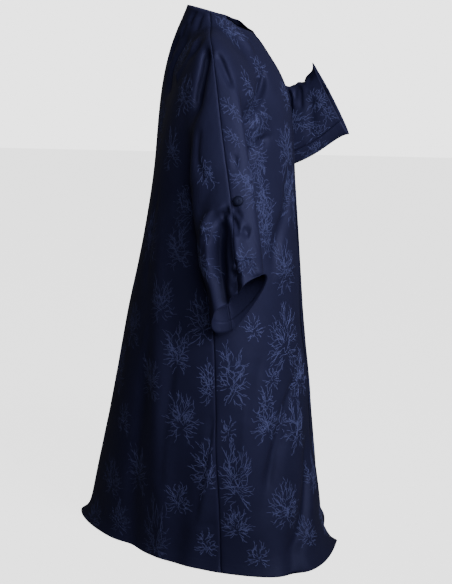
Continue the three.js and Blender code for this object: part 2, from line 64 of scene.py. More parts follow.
def add_camera():
    """A camera at CAMERA_PLACE, turned and tilted by the two angles."""
    data = bpy.data.cameras.new("camera")
    data.lens = LENS
    data.sensor_width = SENSOR
    camera = bpy.data.objects.new("camera", data)
    bpy.context.scene.collection.objects.link(camera)
    level = math.cos(CAMERA_TILT)
    look = Vector((math.cos(CAMERA_TURN) * level, math.sin(CAMERA_TURN) * level, -math.sin(CAMERA_TILT)))
    camera.location = CAMERA_PLACE
    camera.rotation_euler = look.to_track_quat("-Z", "Y").to_euler()
    bpy.context.scene.camera = camera


add_camera()

# %% Floor and lamps
FLOOR_Z = -1.4005
FLOOR_HALF = 12  # metres, so that its edges lie far off


def floor_material(name, seen, unseen, roughness, glow):
    """A floor that the camera sees as one grey, with a faint glow so that it comes out pale. Light that
    meets it before the cloth finds a darker grey, so it throws little light back up the robe."""
    material = bpy.data.materials.new(name)
    material.use_nodes = True
    tree = material.node_tree
    shader = tree.nodes["Principled BSDF"]
    path = tree.nodes.new("ShaderNodeLightPath")
    for socket, dark, pale in (("Base Color", unseen, seen), ("Emission Color", 0, glow)):
        blend = tree.nodes.new("ShaderNodeMix")
        blend.data_type = "RGBA"
        blend.inputs["A"].default_value = (dark, dark, dark, 1)
        blend.inputs["B"].default_value = (pale, pale, pale, 1)
        tree.links.new(path.outputs["Is Camera Ray"], blend.inputs["Factor"])
        tree.links.new(blend.outputs["Result"], shader.inputs[socket])
    shader.inputs["Emission Strength"].default_value = 1
    shader.inputs["Roughness"].default_value = roughness
    return material


def add_floor():
    """A wide pale square under the hem."""
    mesh = bpy.data.meshes.new("floor")
    corners = [(x * FLOOR_HALF, y * FLOOR_HALF, FLOOR_Z) for x, y in ((-1, -1), (1, -1), (1, 1), (-1, 1))]
    mesh.from_pydata(corners, [], [(0, 1, 2, 3)])
    floor = bpy.data.objects.new("floor", mesh)
    bpy.context.scene.collection.objects.link(floor)
    mesh.materials.append(floor_material("pale_floor", seen=0.7, unseen=0.2, roughness=0.9, glow=2.3))


def add_lamp(name, place, aim, size, power, spread):
    """A square area lamp at place, turned towards aim, with its beam held to an angle in degrees."""
    data = bpy.data.lights.new(name, "AREA")
    data.size = size
    data.energy = power
    data.spread = math.radians(spread)
    lamp = bpy.data.objects.new(name, data)
    bpy.context.scene.collection.objects.link(lamp)
    lamp.location = place
    lamp.rotation_euler = (Vector(aim) - Vector(place)).to_track_quat("-Z", "Y").to_euler()


def set_world(light, backdrop):
    """A weak even light from all round, which the camera sees as a pale backdrop."""
    world = bpy.data.worlds.new("studio")
    world.use_nodes = True
    tree = world.node_tree
    path = tree.nodes.new("ShaderNodeLightPath")
    blend = tree.nodes.new("ShaderNodeMix")
    blend.inputs["A"].default_value = light
    blend.inputs["B"].default_value = backdrop
    tree.links.new(path.outputs["Is Camera Ray"], blend.inputs["Factor"])
    tree.links.new(blend.outputs["Result"], tree.nodes["Background"].inputs["Strength"])
    tree.nodes["Background"].inputs["Color"].default_value = (1, 1, 1, 1)
    bpy.context.scene.world = world


add_floor()
add_lamp("front_lamp", place=(-1.6, -2.3, 0.6), aim=(0, -0.1, -0.33), size=1.3, power=13.5, spread=66)
add_lamp("side_lamp", place=(-2.9, -1.4, 1.0), aim=(0, 0, -0.25), size=1.6, power=9, spread=62)
set_world(light=0.13, backdrop=3.0)

# %% [markdown]
# ## The cut of the robe, as a surface
# A worn robe with batwing sleeves is hard to model by pushing points about, so it is written down as a
# few tables instead: level rings for the skirt, four lines for each quarter of the upper body, and rings
# for the sleeves. The same tables made the solid part, so the cloth lies where the solid is. Every quarter
# is a grid of two parameters. The grids share their edge points, which keeps the seams closed.

# %% Sizes and tables, in millimetres
MILLIMETRE = 0.001  # in the scene's metres
NAPE_TO_FLOOR = 1400
ARMPIT_DEPTH = 430
FRONT_PARTING = 4
HEM_LIFT = 1.2
HEM_TURN_HEIGHT = 12
SKIRT_START_HEIGHT = 42
CLIMB_EVEN, CLIMB_GROWING, CLIMB_POWER = 0.72, 0.28, 1.6  # the skirt's rows lie closer towards the hem
DENSITY = 6  # the cloth's squares along each side of one of the solid's
QUARTER_COLUMNS = 14 * DENSITY
NECK_COLUMNS = 5 * DENSITY
SKIRT_ROWS = 16
YOKE_ROWS = 11 * DENSITY
SLEEVE_RINGS = 14 * DENSITY
EVEN_OUT_ROUNDS = 7 * DENSITY * DENSITY
FINE_STEPS = 180

# z, reach of the right front edge, of the left front edge, side seam's Y, reach of the centre back,
# half the width, power of the front corners, power of the back corners
BODY_RINGS = np.array([
    (-1400, 334, 284, -78, 410, 262, 3.0, 1.52),
    (-1388, 312, 278, -77, 396, 249, 3.0, 1.5),
    (-1340, 288, 264, -76, 387, 246, 2.7, 1.58),
    (-1270, 280, 264, -74, 369, 243, 2.5, 1.62),
    (-1180, 267, 262, -68, 342, 239, 2.3, 1.7),
    (-1080, 249, 250, -60, 314, 234, 2.2, 1.8),
    (-950, 242, 243, -58, 282, 227, 2.1, 1.9),
    (-800, 221, 223, -52, 248, 219, 2.0, 2.0),
    (-650, 214, 215, -36, 214, 211, 2.0, 2.05),
    (-520, 204, 206, -18, 183, 202, 2.0, 2.1),
    (-430, 198, 198, -6, 163, 200, 2.0, 2.1),
], float)
FRONT_EDGE = [(0, -198, -430), (0, -194, -350), (0, -190, -275), (0, -179, -215), (0, -158, -165),
              (0, -128, -118), (0, -107, -88), (0, -88, -68)]
CENTRE_BACK = [(0, 163, -430), (0, 159, -350), (0, 156, -275), (0, 150, -205), (0, 139, -140),
               (0, 118, -65), (0, 94, -20), (0, 76, 0)]
NECK_FRONT = [(0, -88, -68), (-30, -82, -64), (-56, -60, -54), (-72, -28, -36), (-77, 0, -22)]
NECK_BACK = [(0, 76, 0), (-32, 70, -2), (-58, 50, -8), (-73, 24, -16), (-77, 0, -22)]
SHOULDER = [(-77, 0, -22), (-115, -9, -30), (-155, -18, -44), (-188, -28, -66)]

# each ring of a sleeve: the seam over the arm, the seam under it, the front half's bulge, the back
# half's bulge, and how round the ring is
RIGHT_SLEEVE = np.array([
    (-188, -28, -66, -200, -6, -430, -14, -96, 14, -4, 36, 0, 0),
    (-217, -47, -140, -215, -16, -450, -10, -94, 10, -14, 30, 5, 0.25),
    (-245, -67, -233, -226, -28, -480, -6, -93, 2, -12, 48, 14, 0.5),
    (-270, -87, -338, -232, -42, -518, 2, -92, -6, -8, 68, 20, 0.75),
    (-291, -110, -444, -236, -56, -562, 6, -90, -16, -6, 74, 22, 0.9),
    (-305, -118, -518, -240, -70, -618, 6, -90, -8, -4, 68, 4, 1),
    (-317, -125, -590, -245, -86, -696, 8, -85, 16, -6, 58, -14, 1),
    (-329, -136, -658, -251, -102, -769, 14, -74, 83, -5, 56, -25, 1),
], float)
LEFT_SLEEVE = np.array([
    (188, -28, -66, 200, -6, -430, 14, -96, 20, 6, 76, 0, 0),
    (228, -36, -140, 217, -36, -452, -3, -90, 60, 14, 80, -30, 0.3),
    (258, -60, -215, 220, -84, -434, -22, -70, 113, 10, 78, -75, 0.6),
    (276, -100, -270, 216, -130, -392, -30, -42, 140, -4, 44, -106, 0.85),
    (275, -150, -255, 214, -188, -366, -31, -10, 137, -5, 18, -101, 1),
    (266, -196, -232, 214, -236, -336, -29, 26, 123, -1, -6, -94, 1),
    (255, -236, -206, 213, -280, -292, -25, 54, 99, -1, -39, -67, 1),
], float)


# %% Curves on whole arrays
def rows_at(places, rows, wanted):
    """The rows of a table at the wanted places. Between two rows runs a cubic whose slope at each row is
    the harmonic mean of the slopes on both sides, or 0 where they differ in sign, so it never overshoots."""
    gap = np.diff(places)[:, None]
    slope = np.diff(rows, axis=0) / gap
    before, after = slope[:-1], slope[1:]
    total = np.where(before * after > 0, before + after, 1)
    middle = np.where(before * after > 0, 2 * before * after / total, 0)
    tangent = np.vstack([slope[:1], middle, slope[-1:]])
    k = np.clip(np.searchsorted(places, wanted, side="left") - 1, 0, len(places) - 2)
    t = ((wanted - places[k]) / gap[k, 0])[:, None]
    return ((2 * t**3 - 3 * t**2 + 1) * rows[k] + (t**3 - 2 * t**2 + t) * gap[k] * tangent[k]
            + (3 * t**2 - 2 * t**3) * rows[k + 1] + (t**3 - t**2) * gap[k] * tangent[k + 1])


def evenly(chains, count):
    """Each chain of points again, as count + 1 points at equal steps of its length. The chains are laid end
    to end on one long line of distances, so a single interpolation serves them all."""
    steps = np.linalg.norm(np.diff(chains, axis=1), axis=2)
    run = np.concatenate([np.zeros((len(chains), 1)), np.cumsum(steps, axis=1)], axis=1)
    apart = 2 * run.max() * np.arange(len(chains))[:, None]
    want = run[:, -1:] * np.linspace(0, 1, count + 1)
    return np.stack([
        np.interp((want + apart).ravel(), (run + apart).ravel(), chains[..., k].ravel()).reshape(want.shape)
        for k in range(3)
    ], axis=-1)


def smooth_line(rows, steps=FINE_STEPS):
    """A Catmull-Rom curve through the rows: each point is a cubic blend of the four rows around it."""
    rows = np.asarray(rows, float)
    padded = np.vstack([2 * rows[0] - rows[1], rows, 2 * rows[-1] - rows[-2]])
    at = np.linspace(0, len(rows) - 1, steps + 1)
    k = np.minimum(at.astype(int), len(rows) - 2)
    s = (at - k)[:, None]
    a, b, c, d = padded[k], padded[k + 1], padded[k + 2], padded[k + 3]
    return 0.5 * (2 * b + (c - a) * s + (2 * a - 5 * b + 4 * c - d) * s**2 + (3 * b - a - 3 * c + d) * s**3)


def even_line(rows, count):
    """The same curve as count + 1 points at equal steps."""
    return evenly(smooth_line(rows)[None], count)[0]


# %% The quarters of the skirt and the halves of the sleeves
def skirt_quarter(heights, right, back):
    """Quarters of superellipses: x = half * sin(a)^(2/p), y = side + reach * cos(a)^(2/p)."""
    z, to_right, to_left, side, to_back, half, front_power, back_power = rows_at(
        BODY_RINGS[:, 0], BODY_RINGS, heights).T[..., None]
    reach = to_back - side if back else -(to_right if right else to_left) - side
    power = 2 / (back_power if back else front_power)
    angle = np.linspace(0, math.pi / 2, FINE_STEPS + 1)
    across = half * np.sin(angle) ** power * (-1 if right else 1)
    along = side + reach * np.maximum(np.cos(angle), 0) ** power
    return evenly(np.stack([across, along, z + 0 * across], axis=-1), QUARTER_COLUMNS)


def sleeve_half(table, back):
    """Half rings: from the seam under the arm to the seam over it, plus the bulge times sin(pi * share)."""
    places = np.linspace(0, len(table) - 1, SLEEVE_RINGS + 1)
    rings = rows_at(np.arange(len(table), dtype=float), table, places)[:, None, :]
    over, under, front, behind = (rings[..., k:k + 3] for k in (0, 3, 6, 9))
    roundness = rings[..., 12:]
    share = np.linspace(0, 1, FINE_STEPS + 1)[None, :, None]
    climb = (1 - roundness) * share + roundness * (1 - np.cos(math.pi * share)) / 2
    chains = under + (over - under) * climb + (behind if back else front) * np.sin(math.pi * share)
    return evenly(chains, YOKE_ROWS)


def sheet_between(bottom, top, first, last):
    """A Coons patch: the two ruled sheets between opposite lines, added, less the one between the corners."""
    u = np.linspace(0, 1, len(bottom))[None, :, None]
    v = np.linspace(0, 1, len(first))[:, None, None]
    ruled = (1 - v) * bottom + v * top + (1 - u) * first[:, None] + u * last[:, None]
    corners = ((1 - u) * (1 - v) * bottom[0] + u * (1 - v) * bottom[-1]
               + (1 - u) * v * top[0] + u * v * top[-1])
    return ruled - corners


def skirt_heights():
    """The heights of the skirt's rows. The solid's rows are kept, and each space is divided evenly."""
    share = np.arange(SKIRT_ROWS) / (SKIRT_ROWS - 1)
    climb = CLIMB_EVEN * share + CLIMB_GROWING * share**CLIMB_POWER
    top = NAPE_TO_FLOOR - ARMPIT_DEPTH
    coarse = np.r_[HEM_LIFT, HEM_TURN_HEIGHT, SKIRT_START_HEIGHT + (top - SKIRT_START_HEIGHT) * climb]
    fine = np.interp(np.arange((len(coarse) - 1) * DENSITY + 1) / DENSITY, np.arange(len(coarse)), coarse)
    return fine - NAPE_TO_FLOOR


# %% One shared set of points
PIECES = ("right_front", "left_front", "back")
PARTS = ("skirt", "yoke", "sleeve")
blocks = {}
placed = []


def add_block(key, grid, shared):
    """Numbers a grid's points, and keeps the numbers that a neighbour gave to the points on a shared edge."""
    ids = np.full(grid.shape[:2], -1)
    for where, known in shared:
        ids[where] = known
    new = ids < 0
    ids[new] = sum(map(len, placed)) + np.arange(new.sum())
    placed.append(grid[new])
    blocks[key] = ids


def build_blocks():
    """Skirt, yoke and sleeve of every quarter, with the numbers of the points on their shared edges."""
    heights = skirt_heights()
    for right in (True, False):
        mirror = np.array([1 if right else -1, 1, 1])
        for back in (False, True):
            skirt = skirt_quarter(heights, right, back)
            sleeve = sleeve_half(RIGHT_SLEEVE if right else LEFT_SLEEVE, back)
            neck = even_line(NECK_BACK if back else NECK_FRONT, NECK_COLUMNS) * mirror
            shoulder = even_line(SHOULDER, QUARTER_COLUMNS - NECK_COLUMNS) * mirror
            middle = even_line(CENTRE_BACK if back else FRONT_EDGE, YOKE_ROWS)
            top = np.vstack([neck, shoulder[1:]])
            yoke = sheet_between(skirt[-1], top, middle, sleeve[0])
            all_rows, last = slice(None), -1
            side = [((all_rows, last), blocks["skirt", right, False][:, last])] if back else []
            spine = [((all_rows, 0), blocks["skirt", True, True][:, 0])] if back and not right else []
            add_block(("skirt", right, back), skirt, side + spine)
            waist = [((0, all_rows), blocks["skirt", right, back][last])]
            if back:
                over = slice(NECK_COLUMNS, None)
                waist.append(((last, over), blocks["yoke", right, False][last, over]))
            if back and not right:
                waist.append(((all_rows, 0), blocks["yoke", True, True][:, 0]))
            add_block(("yoke", right, back), yoke, waist)
            arm = [((0, all_rows), blocks["yoke", right, back][:, last])]
            if back:
                front_ids = blocks["sleeve", right, False]
                arm += [((all_rows, 0), front_ids[:, 0]), ((all_rows, last), front_ids[:, last])]
            add_block(("sleeve", right, back), sleeve, arm)
    return np.vstack(placed)


points = build_blocks()
print("points of the shared surface:", len(points))


# %% [markdown]
# ## Easing the joins
# Where the skirt, yoke and sleeves meet, the tables leave slight kinks. Real cloth eases over them, so
# every free point is moved halfway to the middle of its neighbours, many times over. The hem, neck, cuffs
# and front edges are held, which keeps the robe's outline.

# %% Squares, neighbours and held points
def squares_in(grid):
    """The values at the four corners of every square of a grid, in order round the square."""
    corners = np.stack([grid[:-1, :-1], grid[:-1, 1:], grid[1:, 1:], grid[1:, :-1]], axis=2)
    return corners.reshape(-1, 4, *grid.shape[2:])


def outward_squares(key, grid):
    """The same for a grid of the block called key, turned so that the squares face out of the robe."""
    part, right, back = key
    turned = (right != back) != (part == "sleeve")
    return squares_in(grid)[:, ::-1] if turned else squares_in(grid)


all_squares = np.vstack([outward_squares(key, ids) for key, ids in blocks.items()])
edges = np.sort(np.stack([all_squares, np.roll(all_squares, -1, axis=1)], axis=-1).reshape(-1, 2), axis=1)
edges = np.unique(edges, axis=0)


def held_points():
    """The points on the hem, neck, cuffs and front edges. The front edges are parted here too."""
    held = np.zeros(len(points), bool)
    for (part, right, back), ids in blocks.items():
        if part == "skirt":
            held[ids[0]] = True
        if part == "sleeve":
            held[ids[-1]] = True
        if part == "yoke":
            held[ids[-1, :NECK_COLUMNS + 1]] = True
        if part != "sleeve" and not back:
            points[ids[:, 0], 0] = (-1 if right else 1) * FRONT_PARTING / 2
            held[ids[:, 0]] = True
    return held


def even_out(values, held, rounds):
    """Moves each free value halfway to the mean of its neighbours. The sums over neighbours are made with
    bincount, one call for each coordinate."""
    a, b = edges.T
    ends, others = np.concatenate([a, b]), np.concatenate([b, a])
    count = np.bincount(ends, minlength=len(values))[:, None]
    free = ~held[:, None]
    for _ in range(rounds):
        sums = np.stack([np.bincount(ends, values[others, k], len(values)) for k in range(values.shape[1])],
                        axis=1)
        values = np.where(free, (values + sums / count) / 2, values)
    return values


def outwards(at):
    """The direction out of the cloth at every point: the mean of the normals of the squares around it."""
    a, b, c, d = (at[all_squares[:, k]] for k in range(4))
    normal = np.cross(c - a, d - b)
    total = np.stack([
        np.bincount(all_squares.T.ravel(), np.tile(normal[:, k], 4), len(at)) for k in range(3)], axis=1)
    return total / np.linalg.norm(total, axis=1)[:, None]


held = held_points()
points = even_out(points, held, EVEN_OUT_ROUNDS)
normals = outwards(points)
print("eased; height", np.ptp(points[:, 2]).round(1), "mm")

# %% [markdown]
# ## Folds
# Satin this light falls in a few long, deep folds and many short ones, none the same as the next. A fold is
# a line over the cloth with a depth and a width at each end: points near the line move along their own
# normals, by the depth times a bell curve of the distance. Only cloth that faces as the line does is moved,
# so a fold in the chest never reaches through to the back. The long folds are the same as the solid's.

# %% The long folds: depth, half width at the start and at the end, whether it runs out, line
LONG_FOLDS = [
    # crease from the chest to the right armhole
    (-10, 18, 20, False, [(-72, -127, -150), (-89, -137, -188), (-138, -138, -231), (-179, -126, -257),
        (-230, -122, -289)]),
    # lower crease from the chest to the right sleeve
    (-8, 17, 18, False, [(-105, -161, -310), (-141, -144, -329), (-168, -124, -347), (-205, -118, -352)]),
    # ridge from the neck over the right chest
    (5, 13, 15, False, [(-77, -11, -30), (-70, -54, -60), (-72, -89, -100), (-84, -122, -155)]),
    # line in front of the right shoulder seam
    (-5, 12, 12, False, [(-197, -49, -114), (-207, -68, -150), (-213, -84, -179), (-217, -97, -206)]),
    # long hollow down the right front
    (-8, 20, 24, False, [(-28, -192, -354), (-44, -194, -454), (-66, -192, -509), (-102, -180, -561),
        (-131, -170, -659)]),
    # ridge from the right cuff to the front edge
    (5, 15, 15, False, [(-130, -172, -689), (-92, -191, -645), (-14, -212, -638)]),
    # hollow behind the seam over the right arm
    (-8, 16, 16, False, [(-259, -73, -379), (-266, -60, -420), (-271, -42, -472), (-271, -32, -514)]),
    # ridge down the right sleeve from the elbow gathers
    (9, 15, 18, False, [(-272, -107, -469), (-279, -66, -502), (-278, -44, -546), (-280, -44, -605),
        (-286, -55, -667)]),
    # valley down the right sleeve from the elbow gathers
    (-12, 13, 17, False, [(-276, -103, -485), (-287, -94, -533), (-297, -92, -592), (-309, -105, -655)]),
    # ridge over the right forearm
    (8, 15, 17, False, [(-281, -124, -523), (-287, -142, -563), (-293, -156, -599)]),
    # folds from the back of the neck, right
    (-6, 13, 15, False, [(-76, 40, -60), (-64, 78, -92), (-46, 106, -123), (-52, 113, -160)]),
    (-7, 13, 16, False, [(-149, -9, -72), (-161, 8, -104), (-133, 44, -141), (-115, 70, -178)]),
    # deep valley between the right sleeve and the back
    (-15, 15, 20, False, [(-170, -17, -82), (-197, -20, -130), (-208, -16, -175), (-220, -9, -239),
        (-210, 9, -302)]),
    # folds of the right front skirt
    (-9, 18, 26, False, [(-20, -232, -896), (-97, -223, -964), (-142, -210, -1052), (-180, -191, -1130),
        (-224, -174, -1299)]),
    (-14, 18, 30, True, [(-35, -246, -1054), (-68, -260, -1178), (-122, -263, -1272), (-187, -255, -1337),
        (-225, -262, -1400)]),
    # ridge behind the right side seam
    (10, 22, 34, True, [(-226, -50, -979), (-234, -34, -1109), (-238, -11, -1250), (-242, 13, -1400)]),
    # folds of the right half of the back
    (10, 30, 38, True, [(-157, 106, -448), (-183, 106, -694), (-200, 107, -976), (-212, 99, -1214),
        (-221, 93, -1400)]),
    (-12, 26, 40, True, [(-170, 144, -802), (-171, 169, -991), (-168, 196, -1187), (-179, 203, -1400)]),
    # hollow across the left forearm
    (-8, 13, 15, False, [(202, -187, -186), (192, -200, -238), (196, -203, -296), (204, -195, -358)]),
    # crease from the chest to the left armhole
    (-9, 15, 17, False, [(68, -123, -141), (91, -134, -183), (128, -134, -226), (168, -124, -252)]),
    # ridge from the neck over the left chest
    (5, 13, 15, False, [(81, -12, -35), (74, -50, -60), (81, -82, -98), (103, -112, -150)]),
    # line in front of the left shoulder seam
    (-5, 13, 13, False, [(198, -49, -109), (216, -68, -150), (236, -88, -190)]),
    # long hollow down the left front
    (-8, 22, 26, False, [(64, -188, -380), (75, -189, -497), (115, -178, -621), (140, -170, -738)]),
    # folds of the left front skirt
    (-10, 20, 30, False, [(56, -220, -833), (116, -213, -954), (158, -200, -1068), (194, -192, -1215)]),
    (-13, 18, 32, True, [(68, -235, -989), (114, -236, -1135), (178, -220, -1274), (236, -205, -1400)]),
    # ridge and hollow beside the left side seam
    (11, 24, 36, True, [(214, -103, -953), (223, -111, -1093), (234, -119, -1247), (250, -131, -1400)]),
    (-12, 22, 34, True, [(222, -44, -904), (231, -36, -1057), (238, -16, -1244), (246, -7, -1400)]),
    # folds from the back of the neck, left
    (-6, 13, 15, False, [(80, 34, -55), (75, 66, -88), (70, 94, -126), (85, 100, -169)]),
    (-7, 13, 16, False, [(169, -14, -77), (191, 1, -114), (193, 30, -155), (200, 48, -200)]),
    # valley between the left sleeve and the back
    (-10, 15, 18, False, [(187, -22, -91), (212, -19, -136), (231, -10, -190), (240, 7, -245)]),
    # folds of the left half of the back
    (11, 30, 40, True, [(177, 90, -518), (192, 99, -768), (204, 107, -1055), (218, 117, -1400)]),
    (-12, 26, 40, True, [(165, 139, -725), (170, 163, -936), (171, 189, -1158), (171, 218, -1400)]),
    # hollow at the bend of the left elbow, and a ridge along the left forearm
    (-9, 15, 18, False, [(257, -173, -216), (267, -157, -264), (269, -125, -300), (265, -82, -337)]),
    (7, 14, 16, False, [(252, -203, -207), (252, -236, -233)]),
    # folds beside the centre back
    (9, 34, 46, True, [(-13, 191, -560), (-9, 245, -800), (11, 313, -1100), (28, 396, -1400)]),
    (-9, 30, 44, True, [(44, 205, -640), (50, 259, -900), (55, 312, -1150), (59, 374, -1400)]),
]
SOFT_END = 0.3  # the share of a line over which a soft end fades
FOLD_REACH = 2.2  # how far out the bell curve is followed, in half widths
FACING_GAIN = 1.5  # cloth that faces as the line does, by two thirds or more, moves in full


def smoothstep(x):
    """3 x^2 - 2 x^3, held between 0 and 1."""
    x = np.clip(x, 0, 1)
    return x * x * (3 - 2 * x)


def nearest_on(chain, near):
    """For each point: distance to the chain of segments, share of the chain's length there, segment and
    place on the segment. Every point is measured against every segment at once."""
    a, d = chain[:-1], np.diff(chain, axis=0)
    t = np.clip(((near[:, None] - a) * d).sum(-1) / np.maximum((d * d).sum(-1), 1e-9), 0, 1)
    gap = near[:, None] - a - t[..., None] * d
    distance = np.linalg.norm(gap, axis=-1)
    k = distance.argmin(axis=1)
    pick = np.arange(len(near))
    run = np.r_[0, np.cumsum(np.linalg.norm(d, axis=1))]
    t = t[pick, k]
    return distance[pick, k], (run[k] + t * (run[k + 1] - run[k])) / run[-1], k, t, gap[pick, k]


def press(at, normal, folds, soft_end=SOFT_END, line_steps=24):
    """How far each point moves along its normal for all the folds together. lean makes the flank on one
    side of a line wider than the other: the half width is multiplied by 1 + lean on the left and by
    1 - lean on the right."""
    shift = np.zeros(len(at))
    for depth, from_width, to_width, runs_out, line, *more in folds:
        lean = more[0] if more else 0
        chain = smooth_line(line, line_steps)
        reach = FOLD_REACH * max(from_width, to_width) * (1 + abs(lean))
        inside = ((at >= chain.min(0) - reach) & (at <= chain.max(0) + reach)).all(axis=1)
        near = np.flatnonzero(inside)
        if not len(near):
            continue
        facing = normal[near[((chain[:, None] - at[near]) ** 2).sum(-1).argmin(axis=1)]]
        distance, share, k, t, gap = nearest_on(chain, at[near])
        face = facing[k] * (1 - t[:, None]) + facing[k + 1] * t[:, None]
        agree = (normal[near] * face).sum(1)
        side = np.sign((np.cross(face, chain[k + 1] - chain[k]) * gap).sum(1))
        width = (from_width + (to_width - from_width) * share) * (1 + lean * side)
        ends = smoothstep(share / soft_end) * (1 if runs_out else smoothstep((1 - share) / soft_end))
        bell = np.exp(-((distance / width) ** 2)) * (distance < FOLD_REACH * width)
        shift[near] += depth * ends * bell * np.clip(agree * FACING_GAIN, 0, 1)
    return shift


points = points + normals * press(points, normals, LONG_FOLDS)[:, None]
normals = outwards(points)
print("long folds:", len(LONG_FOLDS))

# %% [markdown]
# ## Creases
# Between the long folds lie the creases: sharp and short where the cloth is caught, at the armholes, behind
# the shoulders and under the elbow buttons, and long and shallow down the skirt. Each has a row of its own
# and moves the surface that the long folds have left. Most lean, steep on one side and easy on the other,
# because cloth folds over rather than straight up. The deepest, 26 mm down the right lower sleeve, goes
# deeper than any long fold, so there the cloth leaves its solid's form the most.

